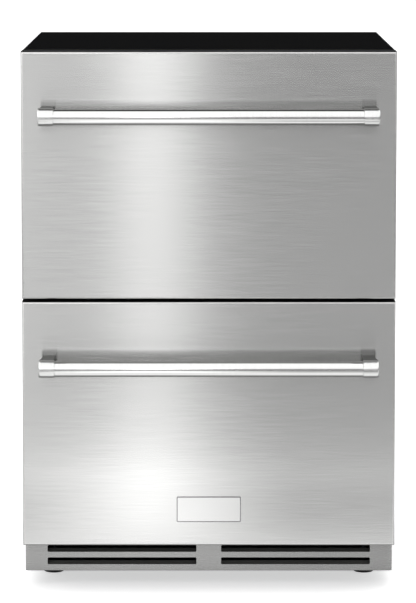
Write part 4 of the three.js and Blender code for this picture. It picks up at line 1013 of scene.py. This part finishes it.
def coil_winding(name, low, high, bottom, runs, rows):
    """Rows of one tube each that winds up from side to side."""
    middle = (low + high) / 2
    pitch = (high.z - bottom) / runs
    half = (high.x - low.x - 2 * TUBE_RADIUS) / 2
    parts = []
    for row in range(rows):
        y = middle.y + (row - (rows - 1) / 2) * (high.y - low.y) / rows
        points = []
        for run in range(runs):
            ends = (-half, half) if run % 2 == 0 else (half, -half)
            points += [(middle.x + end, y, bottom + (run + 0.5) * pitch) for end in ends]
        parts.append(tube(name, TUBE_RADIUS, points, min(pitch / 2 - 0.1 * MM, BEND_RADIUS)))
    return join(*parts)


def fin_stack(name, low, high, count, foot):
    """Thin fins side by side in X, between two end plates that reach down to the floor."""
    fin = block(name, low, (low.x + FIN_SHEET, high.y, high.z))
    round_off(fin, along("x"), 1.5 * MM, 2)
    modify(fin, "ARRAY", count=count, use_relative_offset=False, use_constant_offset=True,
           constant_offset_displace=((high.x - low.x - FIN_SHEET) / (count - 1), 0, 0))
    for x in (low.x - END_SHEET, high.x):
        plate = block("plate", (x, low.y, foot), (x + END_SHEET, high.y, high.z))
        round_off(plate, along("x"), 2 * MM, 3)
        join(fin, plate)
    return fin


for name, rows, count, slot in (("condenser", 3, 36, "copper_tube"), ("evaporator", 2, 72, "aluminium_fins")):
    node = f"{name}_coil"
    low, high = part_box(node)
    bottom = low.z + (high.z - low.z) * UNDER_FINS
    middle = (low.x + high.x) / 2
    half = (high.x - low.x) / 2 - BEND_ROOM - BEND_RADIUS
    winding = coil_winding(f"{name}_winding", low, high, bottom, 4, rows)
    stack = fin_stack(f"{name}_fins", Vector((middle - half, low.y, bottom)),
                      Vector((middle + half, high.y, high.z)), count, low.z)
    dress(winding, "cabinet", slot, node)
    dress(stack, "cabinet", slot, node, material=materials["aluminium_fins"])

COVER_WALL = 2.5 * MM
INLET_STEP = 80 * MM  # between the four slits that the air comes back through
INLET_HALF = 30 * MM
INLET_LOW = 16 * MM  # over the cover's lower edge
INLET_HIGH = 22 * MM
GUARD_WIRE = 1.1 * MM  # radius
GUARD_REACH = 48 * MM
low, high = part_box("evaporator_housing")
fan = pivots["evaporator_fan"]
cover = block("evaporator_cover", low, high)
cut_away(cover, lambda at, way: way.y > 0.9 or way.z < -0.9)
round_off(cover, lambda at, way: at.y < high.y - 1 * MM and at.z > low.z + 1 * MM
          and not (abs(way.z) > 0.9 and at.y > low.y + 1 * MM)
          or abs(way.z) > 0.9 and at.y < low.y + 0.1 * MM, 6 * MM, 5)
thicken(cover, COVER_WALL)
before, after = low.y - OVERCUT, low.y + 4 * MM
holes = [rod("hole", FAN_HOLE_RADIUS, (fan.x, before, fan.z), (fan.x, after, fan.z), 96)]
for k in range(4):
    x = (k - 1.5) * INLET_STEP
    hole = block("hole", (x - INLET_HALF, before, low.z + INLET_LOW),
                 (x + INLET_HALF, after, low.z + INLET_HIGH))
    round_off(hole, along("y"), 2.9 * MM, 5)
    holes.append(hole)
combine(cover, "DIFFERENCE", *holes)
dress(cover, "cabinet", "white_liner", "evaporator_housing")

guard_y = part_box("evaporator_fan_blade")[0].y - 3 * MM
centre = Vector((fan.x, guard_y, fan.z))
wires = []
for radius in (14, 24, 34, 44):
    bpy.ops.object.select_all(action="DESELECT")
    bpy.ops.mesh.primitive_torus_add(major_radius=radius * MM, minor_radius=GUARD_WIRE, major_segments=72,
                                     minor_segments=8, location=centre, rotation=(math.radians(90), 0, 0))
    wires.append(settle("fan_guard"))
for k in range(4):
    turn = math.radians(45 + 90 * k)
    way = Vector((math.cos(turn), 0, math.sin(turn)))
    bend = centre + way * GUARD_REACH
    foot = bend + Vector((0, low.y - guard_y - FIT, 0))
    wires.append(tube("leg", GUARD_WIRE, (centre + way * 12 * MM, bend, foot), 3 * MM))
dress(join(*wires), "cabinet", "white_liner")

# ---------------------------------------------------------------- compressor
SHELL_RADIUS = 62 * MM
SHELL_DOME = 32 * MM
SEAM_RADIUS = 65 * MM
SEAM_LOW = 75 * MM  # over the shell's underside
SEAM_HIGH = 81 * MM
BASE_INSET = 10 * MM
BASE_SHEET = 3 * MM
RELAY_HALF = 20 * MM
RELAY_REACH = 9 * MM  # in front of the shell, and the same into it
RELAY_LOW = 30 * MM  # under the shell's middle
RELAY_HIGH = 16 * MM  # over it
GROMMET_X = 66 * MM  # from the shell's axis
GROMMET_Y = 46 * MM
GROMMET_RADIUS = 7.5 * MM
GROMMET_LOW = 3.2 * MM  # over the base plate's underside, as the next three are
GROMMET_HIGH = 8 * MM
BOLT_LOW = 7.5 * MM
BOLT_HIGH = 11 * MM
low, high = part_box("compressor")
middle = (low + high) / 2
feet_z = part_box("base_pan")[1].z + FIT
shell = post("compressor_shell", SHELL_RADIUS, middle, low.z, high.z, 72)
round_off(shell, across("z"), SHELL_DOME, 9)
seam = post("seam", SEAM_RADIUS, middle, low.z + SEAM_LOW, low.z + SEAM_HIGH, 72)
round_off(seam, across("z"), 1.5 * MM, 3)
base = block("base", (low.x, low.y + BASE_INSET, feet_z), (high.x, high.y - BASE_INSET, feet_z + BASE_SHEET))
round_off(base, along("z"), 10 * MM, 6)
relay = block("relay_cover", (middle.x - RELAY_HALF, low.y - RELAY_REACH, middle.z - RELAY_LOW),
              (middle.x + RELAY_HALF, low.y + RELAY_REACH, middle.z + RELAY_HIGH))
round_off(relay, lambda at, way: at.y < low.y - 8 * MM or abs(way.y) > 0.9, 3 * MM, 4)
combine(shell, "UNION", seam, base)
dress(shell, "cabinet", "black_cabinet_paint", "compressor", material=enamel)
combine(relay, "DIFFERENCE", post("shell_cut", SHELL_RADIUS + FIT, middle, low.z, high.z, 72))
dress(relay, "cabinet", "dark_plastic")

grommets, bolts = [], []
for side_x in (-1, 1):
    for side_y in (-1, 1):
        at = middle + Vector((side_x * GROMMET_X, side_y * GROMMET_Y, 0))
        rubber = post("compressor_grommets", GROMMET_RADIUS, at, feet_z + GROMMET_LOW,
                      feet_z + GROMMET_HIGH, 32)
        round_off(rubber, across("z"), 1.2 * MM, 3)
        grommets.append(rubber)
        bolt = post("compressor_bolts", 4 * MM, at, feet_z + BOLT_LOW, feet_z + BOLT_HIGH, 6)
        round_off(bolt, level_with("z", feet_z + BOLT_HIGH), 0.5 * MM, 2)
        bolts.append(bolt)
grommets, bolts = join(*grommets), join(*bolts)
dress(grommets, "cabinet", "black_rubber")
dress(bolts, "cabinet", "runner_steel")

# ---------------------------------------------------------------- refrigerant tubes
SHELL_SHOULDER = 26 * MM  # under the compressor's top
LIQUID_NEAR = 14 * MM  # condenser's left end to the drier and the tube over it
LIQUID_FAR = 60 * MM  # and to the tube's way up to the deck
LIQUID_LOW = 110 * MM
LIQUID_TURN = 190 * MM
LIQUID_CROSS = 196 * MM
DRIER_LOW = 70 * MM
DRIER_HIGH = 118 * MM
deck_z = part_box("machine_deck")[1].z - 1.5 * MM
shoulder = Vector((middle.x, middle.y, high.z - SHELL_SHOULDER))
deck = (deck_z - shoulder.z) / MM
# Each tube's points are in millimetres from the compressor's axis and shoulder.
tubes = [
    tube("compressor_tubes", radius * MM, [shoulder + Vector(point) * MM for point in points], bend * MM)
    for radius, bend, points in (
        (4, 9, ((-20, 50, -14), (-20, 72, -14), (-20, 72, deck))),
        (2.5, 7, ((22, 50, -30), (22, 74, -30), (22, 74, deck))),
        (3, 7, ((-50, -22, -20), (-80, -36, -20), (-80, -36, 4))),
    )
]
dress(join(*tubes), "cabinet", "copper_tube")

low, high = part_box("condenser_coil")
near_x, far_x = low.x + LIQUID_NEAR, low.x + LIQUID_FAR
tube_y, drier_y = low.y - 7 * MM, low.y - 9 * MM
risers = [(near_x, tube_y, LIQUID_LOW), (near_x, tube_y, LIQUID_TURN), (far_x, tube_y, LIQUID_CROSS),
          (far_x, tube_y, deck_z)]
liquid = tube("liquid_tube", 2.5 * MM, risers, 7 * MM)
drier = rod("filter_drier", 8 * MM, (near_x, drier_y, DRIER_LOW), (near_x, drier_y, DRIER_HIGH), 40)
round_off(drier, across("z"), 5 * MM, 5)
dress(liquid, "cabinet", "copper_tube")
dress(drier, "cabinet", "copper_tube")

# ---------------------------------------------------------------- fan shroud and drip tray
low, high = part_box("condenser_fan_shroud")
fan = pivots["condenser_fan"]
shroud = block("fan_shroud", low, high)
start, end = (low.x - OVERCUT, fan.y, fan.z), (high.x + OVERCUT, fan.y, fan.z)
combine(shroud, "DIFFERENCE", rod("hole", FAN_HOLE_RADIUS, start, end, 96))
soften(shroud, 0.5 * MM, 3)
dress(shroud, "cabinet", "galvanised_steel", "condenser_fan_shroud")

low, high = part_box("drip_tray")
tray = block("defrost_tray", low, high)
cut_away(tray, facing("z"))
round_off(tray, along("z"), 8 * MM, 6)
round_off(tray, level_with("z", low.z), 3 * MM, 4)
thicken(tray, 2 * MM)
dress(tray, "cabinet", "dark_plastic", "drip_tray")

# ---------------------------------------------------------------- back of the cabinet
LOUVRE_X = -150 * MM  # middle of the left column
LOUVRE_HALF = 42 * MM
LOUVRE_LOW = 87.5 * MM
LOUVRE_HIGH = 96 * MM
LOUVRE_RISE = 4.5 * MM  # how far it stands out
LOUVRE_STEP = 14 * MM
COLUMN_STEP = 300 * MM
VENT_HALF = 40 * MM
VENT_LOW = 88.5 * MM
VENT_HIGH = 93.5 * MM
low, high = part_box("rear_panel")
back_plate = block("back_plate", low, high)
round_off(back_plate, along("y"), 3 * MM, 4)
round_off(back_plate, level_with("y", high.y), 0.4 * MM, 2)
dress(back_plate, "cabinet", "galvanised_steel", "rear_panel")

cover_low, cover_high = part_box("machine_cover")
gland_low, gland_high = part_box("cord_gland")
gland = (gland_low + gland_high) / 2


def back_rod(name, radius, start, end, sides=48):
    """A rod along Y about the cord gland's axis."""
    return rod(name, radius, (gland.x, start, gland.z), (gland.x, end, gland.z), sides)


before, after = cover_low.y - OVERCUT, cover_high.y + OVERCUT
vents = block("vented_cover", cover_low, cover_high)
cutters = [back_rod("cut", 9.3 * MM, before, after)]
hood = block("hood", (LOUVRE_X - LOUVRE_HALF, cover_high.y - 0.6 * MM, LOUVRE_LOW),
             (LOUVRE_X + LOUVRE_HALF, cover_high.y + LOUVRE_RISE, LOUVRE_HIGH))
cut_away(hood, lambda at, way: way.z < -0.9 or way.y < -0.9)
round_off(hood, lambda at, way: at.y > cover_high.y + LOUVRE_RISE - 0.1 * MM
          and at.z > LOUVRE_LOW + 0.5 * MM, 4 * MM, 5)
thicken(hood, 0.9 * MM)
hoods = []
for column in range(2):
    for row in range(6):
        move = Vector((column * COLUMN_STEP, 0, row * LOUVRE_STEP))
        hoods.append(copy(hood, "hood", move))
        cutters.append(block("cut", Vector((LOUVRE_X - VENT_HALF, before, VENT_LOW)) + move,
                             Vector((LOUVRE_X + VENT_HALF, after, VENT_HIGH)) + move))
bpy.data.objects.remove(hood)
combine(vents, "DIFFERENCE", *cutters)
join(vents, *hoods)
dress(vents, "cabinet", "black_cabinet_paint", "machine_cover")

grip = back_rod("strain_relief", 13 * MM, gland_high.y - 2 * MM, gland_high.y)
round_off(grip, level_with("y", gland_high.y), 1 * MM, 3)
combine(grip, "UNION", back_rod("neck", 9 * MM, gland_low.y, gland_high.y - 1 * MM))
combine(grip, "DIFFERENCE", back_rod("bore", 4.5 * MM, gland_low.y - OVERCUT, gland_high.y + OVERCUT, 36))
dress(grip, "cabinet", "black_rubber", "cord_gland")

# ---------------------------------------------------------------- levelling feet
PAD_TOP = 8 * MM
NUT_LOW = 6 * MM
NUT_HIGH = 16.2 * MM
STUD_LOW = 12 * MM
THREAD_LOW = 17  # mm
HALF_PITCH = 0.75  # mm, of an M10 thread
THREAD_RINGS = 58
THREAD_ROOT = 0.86  # share of the stud's radius
low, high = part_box("front_right_foot")
at = (low + high) / 2
pad = post("foot_pad", 16 * MM, at, 0, PAD_TOP, 64)
round_off(pad, level_with("z", PAD_TOP), 3 * MM, 5)
round_off(pad, level_with("z", 0), 0.8 * MM, 2)
nut = post("foot_screw", 9 * MM, at, NUT_LOW, NUT_HIGH, 6)
round_off(nut, across("z"), 0.7 * MM, 2)
stud = post("stud", 5 * MM, at, STUD_LOW, high.z, 32)
round_off(stud, level_with("z", high.z), 0.8 * MM, 2)
# The thread's crests and roots are drawn as rings.
split(stud, "z", *[(THREAD_LOW + HALF_PITCH * k) * MM for k in range(THREAD_RINGS)])
centre = (at.x, at.y, 0)
shape(stud, "verts", lambda at, way: THREAD_LOW - 0.5 < at.z / MM < THREAD_LOW + HALF_PITCH * THREAD_RINGS
      and round((at.z / MM - THREAD_LOW) / HALF_PITCH) % 2 == 1,
      bpy.ops.transform.resize, value=(THREAD_ROOT, THREAD_ROOT, 1), center_override=centre)
join(nut, stud)
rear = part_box("rear_right_foot")[0].y - low.y
for node, move in (
    ("front_left_foot", (-2 * at.x, 0, 0)),
    ("rear_right_foot", (0, rear, 0)),
    ("rear_left_foot", (-2 * at.x, rear, 0)),
    ("front_right_foot", (0, 0, 0)),
):
    for part, ending, slot in ((pad, "pad", "foot_plastic"), (nut, "screw", "runner_steel")):
        dress(copy(part, f"{node}_{ending}", move), node, slot, node)
bpy.data.objects.remove(pad)
bpy.data.objects.remove(nut)

# ---------------------------------------------------------------- screws
HEAD_RADIUS = 3.6 * MM
HEAD_RISE = 1.8 * MM
SCREW_X = 284  # mm, of the outer columns
SCREW_INSET = 9 * MM  # plate's edge to the screws


def screw_head():
    """A pan head with a cross recess, about Y, with its seat at Y 0."""
    head = rod("screw", HEAD_RADIUS, (0, 0, 0), (0, HEAD_RISE, 0), 28)
    round_off(head, level_with("y", HEAD_RISE), 1.2 * MM, 4)
    for x, z in ((2, 0.45), (0.45, 2)):
        combine(head, "DIFFERENCE", block("cross", (-x * MM, 0.9 * MM, -z * MM), (x * MM, 3 * MM, z * MM)))
    return head


head = screw_head()
low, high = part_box("rear_panel")
places = [(x * MM, high.y, z) for x in (-SCREW_X, -SCREW_X / 2, 0, SCREW_X / 2, SCREW_X)
          for z in (low.z + SCREW_INSET, high.z - SCREW_INSET)]
places += [(x * MM, high.y, low.z + k * (high.z - low.z) / 4) for x in (-SCREW_X, SCREW_X) for k in (1, 2, 3)]
places += [(x * MM, cover_high.y, z) for x in (-SCREW_X, 0, SCREW_X)
           for z in (cover_low.z + SCREW_INSET, cover_high.z - SCREW_INSET)]
screws = join(*[copy(head, "rear_screws", place, 17 * k % 90, "Y") for k, place in enumerate(places)])
screws.name = "rear_screws"
dress(screws, "cabinet", "runner_steel")
bpy.data.objects.remove(head)

# ---------------------------------------------------------------- the CAD nodes that stay
for slot, *nodes in (
    ("insulation_foam", "cabinet_foam", "upper_front_foam", "lower_front_foam"),
    ("galvanised_steel", "base_pan", "machine_deck"),
):
    for name in nodes:
        node = frame["nodes"][name]
        node.data.materials.clear()
        node.data.materials.append(materials[slot])
